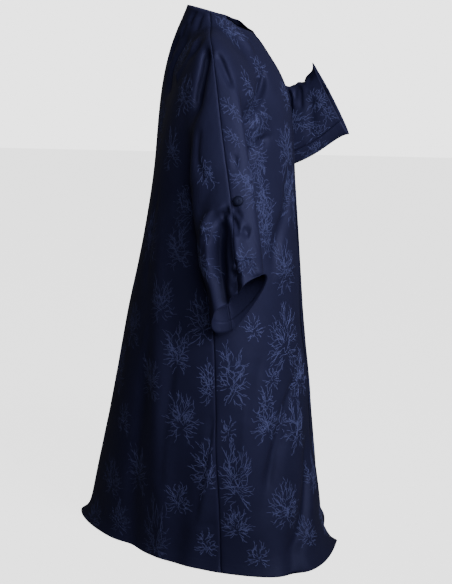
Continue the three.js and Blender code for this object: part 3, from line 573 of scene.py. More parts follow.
# %% The creases: the same columns, with the lean at the end
CREASES = [
    # narrow deep part of the crease over the right chest
    (-13, 7, 8, False, [(-68, -126, -149), (-73, -136, -178), (-96, -134, -212), (-134, -129, -239),
        (-176, -117, -272), (-242, -120, -283)], -0.35),
    (-7, 8, 8, False, [(-77, -174, -313), (-123, -145, -325), (-249, -138, -346)], -0.3),
    (3.5, 10, 8, False, [(-99, -155, -261), (-134, -144, -275), (-165, -129, -299)]),
    # fold in front of the right shoulder seam
    (-5, 8, 8, False, [(-194, -47, -114), (-200, -64, -140), (-210, -79, -169), (-220, -97, -200)], -0.3),
    (4, 9, 9, False, [(-76, -8, -26), (-73, -29, -36), (-71, -58, -59), (-71, -86, -90),
        (-69, -109, -120)]),
    # small pleat beside the seam over the right arm
    (-4, 6, 6, False, [(-265, -112, -347), (-268, -115, -364), (-272, -115, -378)]),
    # folds behind the right shoulder
    (-11, 9, 11, False, [(-80, 48, -72), (-80, 70, -105), (-77, 89, -134), (-81, 100, -173),
        (-112, 93, -222)], -0.3),
    (9, 8, 10, False, [(-133, 7, -79), (-142, 22, -114), (-139, 40, -146), (-133, 61, -171),
        (-146, 61, -192)], 0.2),
    (-12, 9, 12, False, [(-180, -22, -105), (-187, -20, -144), (-196, -15, -177), (-206, -7, -218),
        (-214, -6, -260)], 0.3),
    (-8, 8, 9, False, [(-56, 83, -73), (-43, 107, -115), (-59, 108, -143)], -0.3),
    # crumples at the nape, right
    (-4.5, 6, 6, False, [(-70, 34, -20), (-67, 49, -36), (-72, 51, -56)], -0.3),
    (-5, 6, 7, False, [(-76, 17, -25), (-80, 25, -46), (-91, 28, -68)], -0.3),
    (-4.5, 6, 6, False, [(-62, 62, -45), (-61, 74, -69), (-60, 79, -89)], -0.3),
    # gathers under the right elbow button
    (-8, 5, 6, False, [(-293, -108, -469), (-295, -96, -475), (-296, -84, -483)], -0.2),
    (-4, 5, 5, False, [(-292, -111, -463), (-291, -117, -464), (-288, -126, -460)]),
    (-7, 5, 7, False, [(-293, -108, -469), (-296, -97, -482), (-298, -87, -496)]),
    (-4, 5, 6, False, [(-293, -112, -469), (-292, -122, -472), (-290, -132, -475)]),
    (-6, 5, 7, False, [(-294, -113, -476), (-293, -123, -478), (-292, -137, -489)]),
    # ridge and crease curving back from the gathers of the right elbow
    (7, 5, 8, False, [(-292, -107, -462), (-293, -85, -469), (-292, -61, -482), (-291, -47, -504),
        (-294, -42, -539)]),
    (-8, 5, 8, False, [(-295, -106, -475), (-296, -87, -482), (-298, -71, -500), (-297, -59, -520),
        (-296, -53, -556)], -0.2),
    # curved crease below the right elbow
    (-11, 7, 8, False, [(-294, -110, -476), (-297, -122, -497), (-300, -128, -516),
        (-304, -127, -533)], -0.3),
    (-8, 10, 10, False, [(-297, -137, -512), (-296, -147, -521), (-293, -156, -526)]),
    # light ridge and dark valley down the right lower sleeve, behind its seam
    (10, 12, 16, True, [(-290, -60, -475), (-297, -57, -537), (-300, -62, -598), (-307, -73, -652),
        (-318, -85, -699)]),
    (-26, 13, 19, True, [(-295, -96, -475), (-299, -86, -510), (-301, -79, -556), (-304, -79, -601),
        (-313, -84, -649), (-322, -93, -691)], 0.2),
    # ridge and creases over the right forearm
    (16, 12, 15, True, [(-298, -116, -496), (-303, -123, -527), (-310, -127, -562), (-317, -140, -609),
        (-325, -150, -643)], 0.35),
    (-7, 7, 7, False, [(-315, -122, -592), (-312, -143, -588), (-304, -163, -584)], -0.3),
    (-5, 7, 7, False, [(-308, -159, -596), (-306, -169, -606), (-313, -173, -620)]),
    (-6, 7, 7, False, [(-316, -115, -607), (-320, -131, -618), (-319, -147, -621)]),
    (-5, 7, 8, False, [(-325, -115, -651), (-325, -131, -642), (-323, -149, -634)]),
    (4, 7, 7, False, [(-316, -117, -600), (-316, -139, -604), (-314, -152, -605)]),
    # long soft valley beside the right arm
    (-6, 13, 16, False, [(-33, -189, -407), (-32, -190, -457), (-52, -189, -507), (-91, -178, -562),
        (-118, -173, -618), (-136, -169, -652)], -0.2),
    # creases of the right front skirt
    (-8, 10, 14, False, [(-49, -229, -905), (-107, -213, -969), (-148, -202, -1030), (-182, -186, -1138),
        (-207, -176, -1212)], -0.35),
    (-10, 10, 15, False, [(-41, -253, -1157), (-97, -258, -1266), (-153, -251, -1329),
        (-201, -231, -1359)], 0.3),
    (-2.5, 10, 12, False, [(-175, -159, -841), (-194, -149, -926), (-210, -139, -1029)], -0.2),
    (3, 12, 16, False, [(-209, -127, -947), (-224, -123, -1108), (-237, -119, -1255)]),
    # narrow wedge beside the right side seam
    (-6, 10, 16, False, [(-226, -53, -968), (-239, -36, -1079), (-243, -13, -1211),
        (-243, 4, -1303)], -0.35),
    (-1.6, 7, 7, False, [(-244, -3, -1288), (-243, -27, -1280), (-241, -62, -1280)]),
    (1.6, 7, 7, False, [(-244, -3, -1303), (-243, -34, -1296), (-242, -57, -1296)]),
    # faint folds of the right half of the back
    (-4, 14, 18, False, [(-205, 55, -841), (-209, 74, -968), (-214, 91, -1098), (-216, 101, -1238)], -0.3),
    (3, 16, 20, False, [(-167, 132, -720), (-150, 173, -948), (-146, 201, -1138), (-142, 240, -1319)]),
    (-3, 12, 14, False, [(-146, 109, -422), (-138, 135, -550), (-147, 151, -709)], -0.3),
    (-2.5, 9, 9, False, [(-195, 28, -417), (-190, 45, -467), (-183, 67, -507)]),
    # creases over the left chest
    (-8, 8, 10, False, [(55, -136, -154), (247, -178, -189), (260, -169, -218), (265, -146, -253),
        (268, -130, -269)], 0.35),
    (-6, 9, 9, False, [(255, -203, -318), (258, -175, -330), (257, -148, -354)], 0.3),
    (4, 9, 9, False, [(75, -12, -28), (74, -31, -39), (74, -62, -66), (72, -91, -101)]),
    # creases of the left front skirt
    (-8, 10, 15, False, [(67, -223, -884), (106, -212, -959), (156, -193, -1040), (194, -181, -1156),
        (221, -164, -1238)], 0.35),
    (-7, 11, 15, False, [(72, -243, -1099), (121, -237, -1212), (180, -224, -1340)], -0.3),
    (3, 12, 16, False, [(202, -136, -926), (229, -127, -1078), (246, -118, -1237)]),
    # narrow wedge beside the left side seam
    (-6, 10, 16, False, [(221, -54, -1009), (221, -35, -1138), (225, -6, -1319)], 0.35),
    # folds behind the left shoulder
    (-7, 9, 11, False, [(99, 38, -79), (120, 55, -114), (138, 66, -146), (174, 66, -192)], 0.3),
    (5, 8, 10, False, [(165, -5, -85), (181, 8, -120), (188, 23, -155), (207, 33, -196)]),
    # crumples at the nape, left
    (-3, 7, 7, False, [(72, 32, -27), (72, 41, -39), (77, 50, -65)]),
    (-3, 7, 8, False, [(78, 10, -28), (86, 21, -52), (109, 21, -71)]),
    # faint folds of the left half of the back
    (-4, 14, 18, False, [(206, 61, -862), (211, 82, -999), (213, 105, -1156), (210, 121, -1288)], 0.3),
    (3, 16, 20, False, [(175, 126, -775), (152, 164, -969), (147, 202, -1138)]),
    (-3, 12, 14, False, [(163, 96, -400), (150, 121, -539), (153, 138, -675)], 0.3),
    # creases inside the bend of the left elbow
    (-5, 8, 8, False, [(227, -129, -206), (215, -144, -235), (209, -144, -279)], -0.3),
    (-4, 7, 8, False, [(245, -124, -205), (221, -151, -208), (209, -157, -245)], 0.3),
    (3, 8, 8, False, [(234, -129, -202), (218, -147, -221), (209, -151, -261)]),
    (-3.5, 7, 7, False, [(230, -152, -196), (212, -170, -214), (204, -175, -267)], -0.2),
    # gathers under the left elbow button
    (-3, 4, 5, False, [(257, -136, -217), (260, -143, -222), (261, -156, -225)]),
    (-3, 4, 6, False, [(249, -146, -203), (239, -162, -189), (233, -173, -181)]),
    (-2.6, 4, 5, False, [(249, -142, -204), (235, -151, -195), (226, -152, -200)]),
    (-2.6, 4, 5, False, [(257, -131, -218), (258, -118, -224), (258, -104, -227)]),
    # creases of the left forearm
    (-4, 8, 10, False, [(243, -166, -189), (218, -188, -179), (207, -204, -187)], -0.3),
    (3, 9, 11, False, [(208, -190, -217), (206, -208, -233), (203, -231, -234)]),
    (-3, 8, 9, False, [(265, -73, -320), (262, -124, -343), (258, -180, -328), (254, -232, -288)], -0.3),
    (-4, 9, 9, False, [(249, -31, -391), (242, -98, -413), (244, -159, -388), (237, -223, -364)], 0.3),
    (3, 9, 10, False, [(258, -45, -354), (255, -103, -378), (251, -165, -365)]),
    # folds round the left upper arm
    (-4, 9, 9, False, [(209, -69, -145), (218, -116, -212), (215, -119, -289)], -0.3),
    (-3.5, 8, 9, False, [(215, -7, -173), (237, 19, -265), (240, 20, -353)], 0.3),
    (3, 9, 9, False, [(222, -24, -177), (244, -1, -254), (248, 6, -330)]),
    # creases of the back of the right sleeve
    (-4, 9, 10, False, [(-248, -25, -284), (-263, -23, -360), (-277, -49, -419)], -0.3),
    (-4, 9, 10, False, [(-290, -76, -455), (-298, -65, -532), (-303, -69, -608)], 0.3),
    (3, 9, 10, False, [(-284, -37, -504), (-293, -42, -582), (-297, -60, -670)]),
    (-3, 8, 8, False, [(-259, -5, -410), (-255, -6, -476), (-247, -20, -525)], -0.3),
    # creases of the front of the right upper sleeve, towards the body
    (-3.5, 8, 9, False, [(-222, -117, -278), (-234, -123, -358), (-241, -132, -423)], -0.3),
    (3, 9, 9, False, [(-227, -106, -367), (-234, -107, -431), (-239, -118, -484)]),
]
CREASE_END = 0.2
press_creases = press(points, normals, CREASES, CREASE_END)
points = points + normals * press_creases[:, None]
print("creases:", len(CREASES), "deepest", press_creases.min().round(1), "mm")

# %% [markdown]
# ## Seams
# The fronts meet the back in one seam over each shoulder and arm, and in another down each side and along
# the underside of the arm. Stitching pulls a seam in, so its points sink a little, and the cloth beside it
# puckers in short uneven waves.

# %% Sunk and puckered seams
SEAM_DEPTH = 1.3
PUCKER_HEIGHT = 0.45
PUCKER_REACH = 5  # grid lines from the seam over which the puckers fade
PUCKER_LENGTHS = (4.7, 13.3, 7.9)  # millimetres for one radian of each wave


def seam_grids():
    """Every block once for each seam on it, as point numbers with the seam as the last column, and whether
    it is a block of the back."""
    for (part, right, back), ids in blocks.items():
        if part == "skirt":
            yield ids, back
        if part == "sleeve":
            yield ids, back
            yield ids[:, ::-1], back
        if part == "yoke":
            yield ids[:, NECK_COLUMNS:].T, back


def seam_shift():
    """Down at the seam, half of it one line further over the front piece, and at once up again over the
    back piece. Beside it run waves: three sines whose lengths do not fit, fading with the distance."""
    shift = np.zeros(len(points))
    for ids, back in seam_grids():
        run = np.r_[0, np.cumsum(np.linalg.norm(np.diff(points[ids[:, -1]], axis=0), axis=1))]
        short, long, middle = (run / length for length in PUCKER_LENGTHS)
        wave = np.sin(short) * np.sin(long + 0.6) + 0.5 * np.sin(middle)
        for k in range(1, PUCKER_REACH):
            fade = 1 - k / PUCKER_REACH
            sunk = 0 if back or k > 1 else SEAM_DEPTH / 2
            shift[ids[:, -1 - k]] = fade * PUCKER_HEIGHT * wave - sunk
    for ids, _ in seam_grids():
        shift[ids[:, -1]] = -SEAM_DEPTH
    return shift


points = points + normals * seam_shift()[:, None]
points[:, 2] = np.maximum(points[:, 2], HEM_LIFT - NAPE_TO_FLOOR)
normals = outwards(points)

# %% [markdown]
# ## Satin, as shader groups
# Satin shows long floats of yarn, so it is smooth, with a fine twill of floats that only shows close up and
# a soft blue sheen on the flanks of its folds. The yarns are a shader group that gives a height. A second
# group lets the dye drift a little from place to place and gives the height of soft crumples. Both read the
# piece's own UV map, which is laid out in metres along the cut cloth, so the yarns follow the cloth into the
# sleeves.

# %% Shader groups: satin yarns and uneven dye
SATIN_ENDS = 8  # each warp yarn passes under a crossing yarn once in eight rows
SATIN_STEP = 3  # rows from that place to the one on the next warp yarn
CROSSING_DEPTH = 0.6  # against the height of a warp yarn
QUICK_NOISE = 3.2  # times as fine as the slow one
QUICK_SHARE = 0.4


def new_group(name, inputs, outputs):
    """An empty shader group with float or vector sockets, and its input and output nodes."""
    group = bpy.data.node_groups.new(name, "ShaderNodeTree")
    for label, kind in inputs.items():
        group.interface.new_socket(label, in_out="INPUT", socket_type="NodeSocket" + kind)
    for label, kind in outputs.items():
        group.interface.new_socket(label, in_out="OUTPUT", socket_type="NodeSocket" + kind)
    return group, group.nodes.new("NodeGroupInput"), group.nodes.new("NodeGroupOutput")


def maths(tree, operation, a, b):
    """A Math node over two sockets or numbers, as a socket."""
    node = tree.nodes.new("ShaderNodeMath")
    node.operation = operation
    for socket, value in zip(node.inputs, (a, b)):
        if isinstance(value, (int, float)):
            socket.default_value = value
        else:
            tree.links.new(value, socket)
    return node.outputs[0]


def satin_yarns_group():
    """Height of the yarns: |sin| of the place across the warp, and every eighth of it a crossing yarn that
    steps sideways from row to row, as in an eight-end satin."""
    group, given, result = new_group("satin_yarns", {"Place": "Vector", "Yarns per metre": "Float"},
                                     {"Height": "Float"})
    split = group.nodes.new("ShaderNodeSeparateXYZ")
    group.links.new(given.outputs["Place"], split.inputs[0])
    across = maths(group, "MULTIPLY", split.outputs[0], given.outputs["Yarns per metre"])
    along = maths(group, "MULTIPLY", split.outputs[1], given.outputs["Yarns per metre"])
    warp = maths(group, "ABSOLUTE", maths(group, "SINE", maths(group, "MULTIPLY", across, math.pi), 0), 0)
    step = maths(group, "FLOOR", across, 0)
    slant = maths(group, "ADD", maths(group, "DIVIDE", along, SATIN_ENDS),
                  maths(group, "MULTIPLY", step, SATIN_STEP / SATIN_ENDS))
    float_end = maths(group, "GREATER_THAN", maths(group, "FRACT", slant, 0), 1 - 1 / SATIN_ENDS)
    height = maths(group, "SUBTRACT", warp, maths(group, "MULTIPLY", float_end, CROSSING_DEPTH))
    group.links.new(height, result.inputs["Height"])
    return group


def noise(group, place, scale, detail):
    """A noise over the place, as a socket between 0 and 1."""
    node = group.nodes.new("ShaderNodeTexNoise")
    node.inputs["Detail"].default_value = detail
    group.links.new(place, node.inputs["Vector"])
    group.links.new(scale, node.inputs["Scale"])
    return node.outputs["Fac"]


def uneven_dye_group():
    """A slow noise as a mask, and the same with a quick one added as a height for soft crumples."""
    group, given, result = new_group("uneven_dye", {"Place": "Vector", "Patches per metre": "Float"},
                                     {"Mask": "Float", "Height": "Float"})
    place, scale = given.outputs["Place"], given.outputs["Patches per metre"]
    slow = noise(group, place, scale, detail=3)
    quick = noise(group, place, maths(group, "MULTIPLY", scale, QUICK_NOISE), detail=2)
    height = maths(group, "ADD", slow, maths(group, "MULTIPLY", quick, QUICK_SHARE))
    group.links.new(slow, result.inputs["Mask"])
    group.links.new(height, result.inputs["Height"])
    return group


YARNS = satin_yarns_group()
DYE = uneven_dye_group()

# %% Satin and thread materials
YARNS_PER_METRE = 3200
DYE_PATCHES_PER_METRE = 14
BLUE_SHEEN = (0.44, 0.48, 0.96, 1)


def group_node(tree, group, place, label, value):
    """A shader group in a material, fed with the place on the cut map and one setting."""
    node = tree.nodes.new("ShaderNodeGroup")
    node.node_tree = group
    node.inputs[label].default_value = value
    tree.links.new(place, node.inputs["Place"])
    return node.outputs


def bump(tree, height, depth):
    """A Bump node that takes its height from a socket and its depth in metres."""
    node = tree.nodes.new("ShaderNodeBump")
    node.inputs["Distance"].default_value = depth
    tree.links.new(height, node.inputs["Height"])
    return node


def cloth_material(name, deep, bright, roughness, specular, yarn_depth, crumple_depth, shaded=False):
    """Dyed cloth: the dye drifts between two colours, and yarns and crumples tilt its surface. Shaded cloth
    takes its blend from the mesh's painted light instead: a painted sheen and a painted darkening."""
    material = bpy.data.materials.new(name)
    material.use_nodes = True
    tree = material.node_tree
    shader = tree.nodes["Principled BSDF"]
    place = tree.nodes.new("ShaderNodeUVMap")
    place.uv_map = "cut"
    dye = group_node(tree, DYE, place.outputs[0], "Patches per metre", DYE_PATCHES_PER_METRE)
    yarns = group_node(tree, YARNS, place.outputs[0], "Yarns per metre", YARNS_PER_METRE)
    drift = dye["Mask"]
    # the mesh's painted light: painted sheen and painted shade on the motif, not dye
    if shaded:
        painted_light = tree.nodes.new("ShaderNodeAttribute")
        painted_light.attribute_name = "painted_light"
        drift = painted_light.outputs["Fac"]
    blend = tree.nodes.new("ShaderNodeMix")
    blend.data_type = "RGBA"
    blend.inputs["A"].default_value = (*deep, 1)
    blend.inputs["B"].default_value = (*bright, 1)
    tree.links.new(drift, blend.inputs["Factor"])
    tree.links.new(blend.outputs["Result"], shader.inputs["Base Color"])
    crumple, ridges = bump(tree, dye["Height"], crumple_depth), bump(tree, yarns["Height"], yarn_depth)
    tree.links.new(crumple.outputs["Normal"], ridges.inputs["Normal"])
    tree.links.new(ridges.outputs["Normal"], shader.inputs["Normal"])
    shader.inputs["Roughness"].default_value = roughness
    shader.inputs["Specular IOR Level"].default_value = specular
    shader.inputs["Specular Tint"].default_value = BLUE_SHEEN
    return material


satin = cloth_material(
    "navy_satin", deep=(0.0104, 0.0108, 0.031), bright=(0.0148, 0.0156, 0.045), roughness=0.55,
    specular=0.2, yarn_depth=0.00003, crumple_depth=0.0014)
# the motif thread is blended from deep to bright by painted light, a painted sheen and a painted shade
thread = cloth_material(
    "motif_thread", deep=(0.020, 0.022, 0.060), bright=(0.072, 0.082, 0.205), roughness=0.5,
    specular=0.25, yarn_depth=0.00008, crumple_depth=0.0, shaded=True)
seam_thread = cloth_material(
    "seam_thread", deep=(0.012, 0.015, 0.036), bright=(0.018, 0.022, 0.05), roughness=0.6,
    specular=0.3, yarn_depth=0.00006, crumple_depth=0.0)
button_satin = cloth_material(
    "button_satin", deep=(0.004, 0.0045, 0.013), bright=(0.006, 0.007, 0.02), roughness=0.5,
    specular=0.2, yarn_depth=0.00003, crumple_depth=0.0)

# %% [markdown]
# ## The three cut pieces
# Each piece is one sheet, and its hems are part of it: the hem, the front edges, the neck and the cuffs are
# turned in once, so a second layer lies just inside each edge. Solidify then gives all of it the thickness
# of satin. The cloth keeps a UV map in metres, measured along its own grid lines.

# %% The cut map: metres along the cloth
def steps_along(grid, axis):
    """Distance from the first line of a grid of points, along one of its two directions."""
    step = np.linalg.norm(np.diff(grid, axis=axis), axis=2)
    return np.concatenate([np.zeros_like(np.take(step, [0], axis)), np.cumsum(step, axis=axis)], axis=axis)


def cut_places():
    """For every block, where its points lie on the flat cloth, in metres: across from the front edge or
    centre back, and up from the hem. The sleeves carry on from the yoke."""
    places = {}
    for right in (True, False):
        for back in (False, True):
            skirt, yoke, sleeve = (points[blocks[part, right, back]] * MILLIMETRE for part in PARTS)
            skirt_up, yoke_up = steps_along(skirt, 0), steps_along(yoke, 0)
            yoke_up = yoke_up + skirt_up[-1:]
            yoke_across = steps_along(yoke, 1)
            places["skirt", right, back] = np.stack([steps_along(skirt, 1), skirt_up], axis=-1)
            places["yoke", right, back] = np.stack([yoke_across, yoke_up], axis=-1)
            out = steps_along(sleeve, 0) + yoke_across[:, -1][None]
            up = yoke_up[:1, -1:] + steps_along(sleeve, 1)
            places["sleeve", right, back] = np.stack([out, up], axis=-1)
    return places


cut = cut_places()
print("skirt of the back, flat width at the hem:",
      round(2 * float(cut["skirt", True, True][0, -1, 0]), 3), "m; length at the centre:",
      round(float(cut["yoke", True, True][-1, 0, 1]), 3), "m")


# %% Edges that are turned in
TURNED_GAP = 0.95  # from the middle of the cloth to the middle of its turned-in layer, in millimetres
TURNED_LINES = {"hem": 9, "cuff": 4, "neck": 4, "front": 5}


def turned_edges(right, back):
    """The grids of a quarter that lie along its edges, as point numbers and cut places, in the order that
    faces them into the robe."""
    skirt, yoke, sleeve = (blocks[part, right, back] for part in PARTS)
    skirt_cut, yoke_cut, sleeve_cut = (cut[part, right, back] for part in PARTS)
    hem, cuff = slice(0, TURNED_LINES["hem"] + 1), slice(-TURNED_LINES["cuff"] - 1, None)
    neck = (slice(-TURNED_LINES["neck"] - 1, None), slice(0, NECK_COLUMNS + 1))
    edges_in = [(skirt[hem], skirt_cut[hem]), (sleeve[cuff][::-1], sleeve_cut[cuff][::-1]),
                (yoke[neck], yoke_cut[neck])]
    if not back:
        front = slice(0, TURNED_LINES["front"] + 1)
        edges_in += [(skirt[:, front], skirt_cut[:, front]), (yoke[:, front], yoke_cut[:, front])]
    return edges_in


def mesh_object(name, at, faces, material, flat, by_point=True):
    """A smooth shaded mesh of points in millimetres. flat holds places on the cut map, in metres: one for
    each point, or else one for each corner of each face in turn."""
    mesh = bpy.data.meshes.new(name)
    mesh.from_pydata((at * MILLIMETRE).tolist(), [], faces)
    mesh.materials.append(material)
    if by_point:
        corner = np.empty(len(mesh.loops), dtype=np.int32)
        mesh.loops.foreach_get("vertex_index", corner)
        flat = flat[corner]
    layer = mesh.uv_layers.new(name="cut")
    layer.data.foreach_set("uv", np.ascontiguousarray(flat, dtype=np.float32).ravel())
    mesh.shade_smooth()
    piece = bpy.data.objects.new(name, mesh)
    bpy.context.scene.collection.objects.link(piece)
    return piece


def thicken(piece, thickness):
    """A wall with the cloth's surface in its middle."""
    solidify = piece.modifiers.new("thickness", "SOLIDIFY")
    solidify.thickness = thickness * MILLIMETRE
    solidify.offset = 0
    solidify.use_even_offset = False


def quarters_of(piece):
    """The quarters of a cut piece, as (right, back)."""
    return [(True, True), (False, True)] if piece == "back" else [(piece == "right_front", False)]


def piece_surface(piece):
    """Points, squares and cut places of a piece: its blocks, then its turned-in edges as points of their
    own, moved inwards by TURNED_GAP."""
    quads, corners = [], []
    for right, back in quarters_of(piece):
        for part in PARTS:
            key = part, right, back
            quads.append(outward_squares(key, blocks[key]))
            corners.append(outward_squares(key, cut[key]))
    used, local = np.unique(np.vstack(quads), return_inverse=True)
    at, faces = [points[used]], [local.reshape(-1, 4)]
    count = len(used)
    for right, back in quarters_of(piece):
        for ids, flat in turned_edges(right, back):
            inside = points[ids] - normals[ids] * TURNED_GAP
            inside[..., 2] = np.maximum(inside[..., 2], HEM_LIFT - NAPE_TO_FLOOR)
            at.append(inside.reshape(-1, 3))
            faces.append(squares_in(count + np.arange(ids.size).reshape(ids.shape)))
            corners.append(squares_in(flat))
            count += ids.size
    return np.vstack(at), np.vstack(faces), np.concatenate(corners)


CLOTH_THICKNESS = 0.8
for name in PIECES:
    at, faces, corners = piece_surface(name)
    piece = mesh_object(name + "_cloth", at, faces.tolist(), satin, corners, by_point=False)
    thicken(piece, CLOTH_THICKNESS)
    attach(piece, "root")
    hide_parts(name)
    print(name, len(faces), "squares")

# %% [markdown]
# ## Charts
# The branching motif and the stitching are drawn on the cloth as lines of thread. A chart is the grid of a
# piece laid out flat: rows up from the hem, columns out from the front edge or centre back. Any line that
# is written in rows and columns can then be placed on the folded cloth by looking its points up.

# %% Charts of the pieces
def body_rows(right, back):
    """Skirt and yoke of a quarter, one above the other, as point numbers."""
    return np.vstack([blocks["skirt", right, back], blocks["yoke", right, back][1:]])


def arm_rows(right, back):
    """Yoke and sleeve of a quarter side by side, as point numbers: rows from the seam under the arm up to
    the shoulder, columns from the middle of the body out to the cuff."""
    return np.hstack([blocks["yoke", right, back], blocks["sleeve", right, back][1:].T])


CHARTS = {
    ("right_front", "body"): body_rows(True, False),
    ("left_front", "body"): body_rows(False, False),
    ("back", "body"): np.hstack([body_rows(False, True)[:, :0:-1], body_rows(True, True)]),
    ("right_front", "arm"): arm_rows(True, False),
    ("left_front", "arm"): arm_rows(False, False),
    ("back", "arm"): np.hstack([arm_rows(False, True)[:, :0:-1], arm_rows(True, True)]),
}


def look_up(values, row, column):
    """Values of a chart between its grid points: the mean of the four corners, weighted by nearness."""
    r = np.clip(np.floor(row).astype(int), 0, values.shape[0] - 2)
    c = np.clip(np.floor(column).astype(int), 0, values.shape[1] - 2)
    s, t = (row - r)[..., None], (column - c)[..., None]
    return ((values[r, c] * (1 - s) + values[r + 1, c] * s) * (1 - t)
            + (values[r, c + 1] * (1 - s) + values[r + 1, c + 1] * s) * t)


def directions(grid, row, column, span=4):
    """How far one row and one column reach at a place, as two vectors, taken over a few lines to both
    sides so that a fold does not turn them."""
    rows, columns = grid.shape[0] - 1, grid.shape[1] - 1
    r0, r1 = np.clip(row - span, 0, rows), np.clip(row + span, 0, rows)
    c0, c1 = np.clip(column - span, 0, columns), np.clip(column + span, 0, columns)
    r = np.array([r0, r1, row, row], float)
    c = np.array([column, column, c0, c1], float)
    below, above, inner, outer = look_up(points[grid], r, c)
    return (above - below) / (r1 - r0), (outer - inner) / (c1 - c0)


# %% [markdown]
# ## Lines of thread
# Every line of thread is a low ridge on the cloth: a row of three-sided sections that closes to a point at
# both ends. Fourteen vertices and twenty-four triangles are enough for one, and all of them together are
# computed as one array.

# %% Threads from lines on a chart
THREAD_POINTS = 6
YARN_DRIFT = 0.0007  # metres on the cut map from each vertex of a thread to the next
EDGE_ROOM = 0.4  # grid lines that a thread keeps from the edges of its chart


def thread_mesh(name, at, up, width, lift, material, painted_light=None):
    """Ridges along lines of THREAD_POINTS points. Each section has a left foot, a top and a right foot: the
    feet half the width to the side of the line, the top lifted along the cloth's normal."""
    lines, steps = at.shape[:2]
    along = np.gradient(at, axis=1)
    side = np.cross(up, along)
    side /= np.maximum(np.linalg.norm(side, axis=2, keepdims=True), 1e-6)
    foot, top = lift
    swell = np.sin(np.linspace(0, math.pi, steps))[None, 1:-1, None] ** 0.5
    half = side[:, 1:-1] * swell * np.asarray(width)[:, None, None] / 2
    base = at + up * foot
    crest = at[:, 1:-1] + up[:, 1:-1] * top
    sections = np.stack([base[:, 1:-1] + half, crest, base[:, 1:-1] - half], axis=2)
    vertices = np.concatenate([base[:, :1], sections.reshape(lines, -1, 3), base[:, -1:]], axis=1)
    per_line = vertices.shape[1]
    last = per_line - 1
    ring = 1 + 3 * np.arange(steps - 2)[:, None] + np.arange(3)
    quads = np.stack([ring[:-1], np.roll(ring[:-1], -1, 1), np.roll(ring[1:], -1, 1), ring[1:]],
                     axis=-1).reshape(-1, 4)
    end = ring[-1]
    caps = [(0, 2, 1), (0, 3, 2), (0, 1, 3)] + [(last, *pair) for pair in zip(end, np.roll(end, -1))]
    offset = per_line * np.arange(lines)
    faces = ((quads[None] + offset[:, None, None]).reshape(-1, 4).tolist()
             + (np.array(caps)[None] + offset[:, None, None]).reshape(-1, 3).tolist())
    count = lines * per_line
    flat = np.stack([np.arange(count) * YARN_DRIFT, np.zeros(count)], axis=1)
    piece = mesh_object(name, vertices.reshape(-1, 3), faces, material, flat)
    # painted light for each line: the motif's painted sheen and painted shade
    if painted_light is not None:
        attribute = piece.data.attributes.new(name="painted_light", type="FLOAT", domain="POINT")
        attribute.data.foreach_set("value", np.repeat(painted_light, per_line).astype(np.float32))
    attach(piece, "root")
    return piece


def on_chart(chart, row, column):
    """Lines in rows and columns as points and normals on the cloth. A line that leaves the chart is cut
    where it does, and one that starts outside is left out."""
    grid = CHARTS[chart]
    far_row, far_column = np.array(grid.shape) - 1 - EDGE_ROOM
    inside = (row >= EDGE_ROOM) & (row <= far_row) & (column >= EDGE_ROOM) & (column <= far_column)
    good = np.logical_and.accumulate(inside, axis=1).sum(axis=1) - 1
    keep = good >= 2
    row, column, good = row[keep], column[keep], good[keep]
    share = np.linspace(0, 1, THREAD_POINTS)[None] * good[:, None]
    k = np.minimum(np.floor(share).astype(int), row.shape[1] - 2)
    part = share - k
    line = np.arange(len(row))[:, None]
    row = row[line, k] * (1 - part) + row[line, k + 1] * part
    column = column[line, k] * (1 - part) + column[line, k + 1] * part
    up = look_up(normals[grid], row, column)
    return look_up(points[grid], row, column), up / np.linalg.norm(up, axis=2, keepdims=True), keep


# %% [markdown]
# ## The motif
# The satin is woven with sprays of fine branches, a shade lighter than the ground. Each spray grows by
# rule: wavy stems leave a short upright axis, twigs leave the stems on alternate sides, some twigs fork, and
# short strands fill the middle. A small spray has fewer stems and strands than a large one. The plan is this
# lesson's own. The seed fixes every choice, so the robe comes out the same each time.

# %% One spray
STEMS_PER_SPRAY = 18
FORKS_PER_SPRAY = 8
SHORT_STRANDS = 36
FULL_SPRAY = 9500  # width times height in square millimetres; a smaller spray has fewer stems
LEAST_FULL = 0.4
STEM_WIDTH, TWIG_WIDTH, FORK_WIDTH = 2.0, 1.8, 1.6
TWIG_SPACING, FORK_SPACING = 12, 15


def wavy_lines(start, heading, length, bend, wave, phase):
    """Lines whose heading turns steadily by bend and swings by wave: the sum of short straight steps."""
    t = np.linspace(0, 1, THREAD_POINTS)[None]
    swing = np.sin(2 * math.pi * (1.3 * t + phase[:, None]))
    turn = heading[:, None] + bend[:, None] * t + wave[:, None] * swing
    ahead = np.stack([np.sin(turn), np.cos(turn)], axis=-1)[:, :-1]
    step = ahead * (length[:, None, None] / (THREAD_POINTS - 1))
    return np.concatenate([start[:, None], start[:, None] + np.cumsum(step, axis=1)], axis=1), turn


def twigs_on(stems, turns, lengths, spacing, spread, share, rng):
    """Twigs at even spacing along the stems, on alternate sides, shorter towards the tip."""
    count = np.maximum((lengths / spacing).astype(int), 1)
    stem = np.repeat(np.arange(len(stems)), count)
    place = np.concatenate([(np.arange(n) + 0.7) / n for n in count]) * 0.92
    side = np.where(np.concatenate([np.arange(n) % 2 for n in count]) > 0, 1, -1)
    k = np.minimum((place * (THREAD_POINTS - 1)).astype(int), THREAD_POINTS - 2)
    part = (place * (THREAD_POINTS - 1) - k)[:, None]
    start = stems[stem, k] * (1 - part) + stems[stem, k + 1] * part
    size = len(stem)
    heading = turns[stem, k] + side * rng.uniform(*spread, size)
    length = share * lengths[stem] * (1.05 - 0.62 * place) * rng.uniform(0.65, 1.25, size)
    lines, headings = wavy_lines(start, heading, length, -side * rng.uniform(0.1, 0.7, size),
                                 rng.uniform(-0.35, 0.35, size), rng.uniform(0, 1, size))
    return lines, headings, length


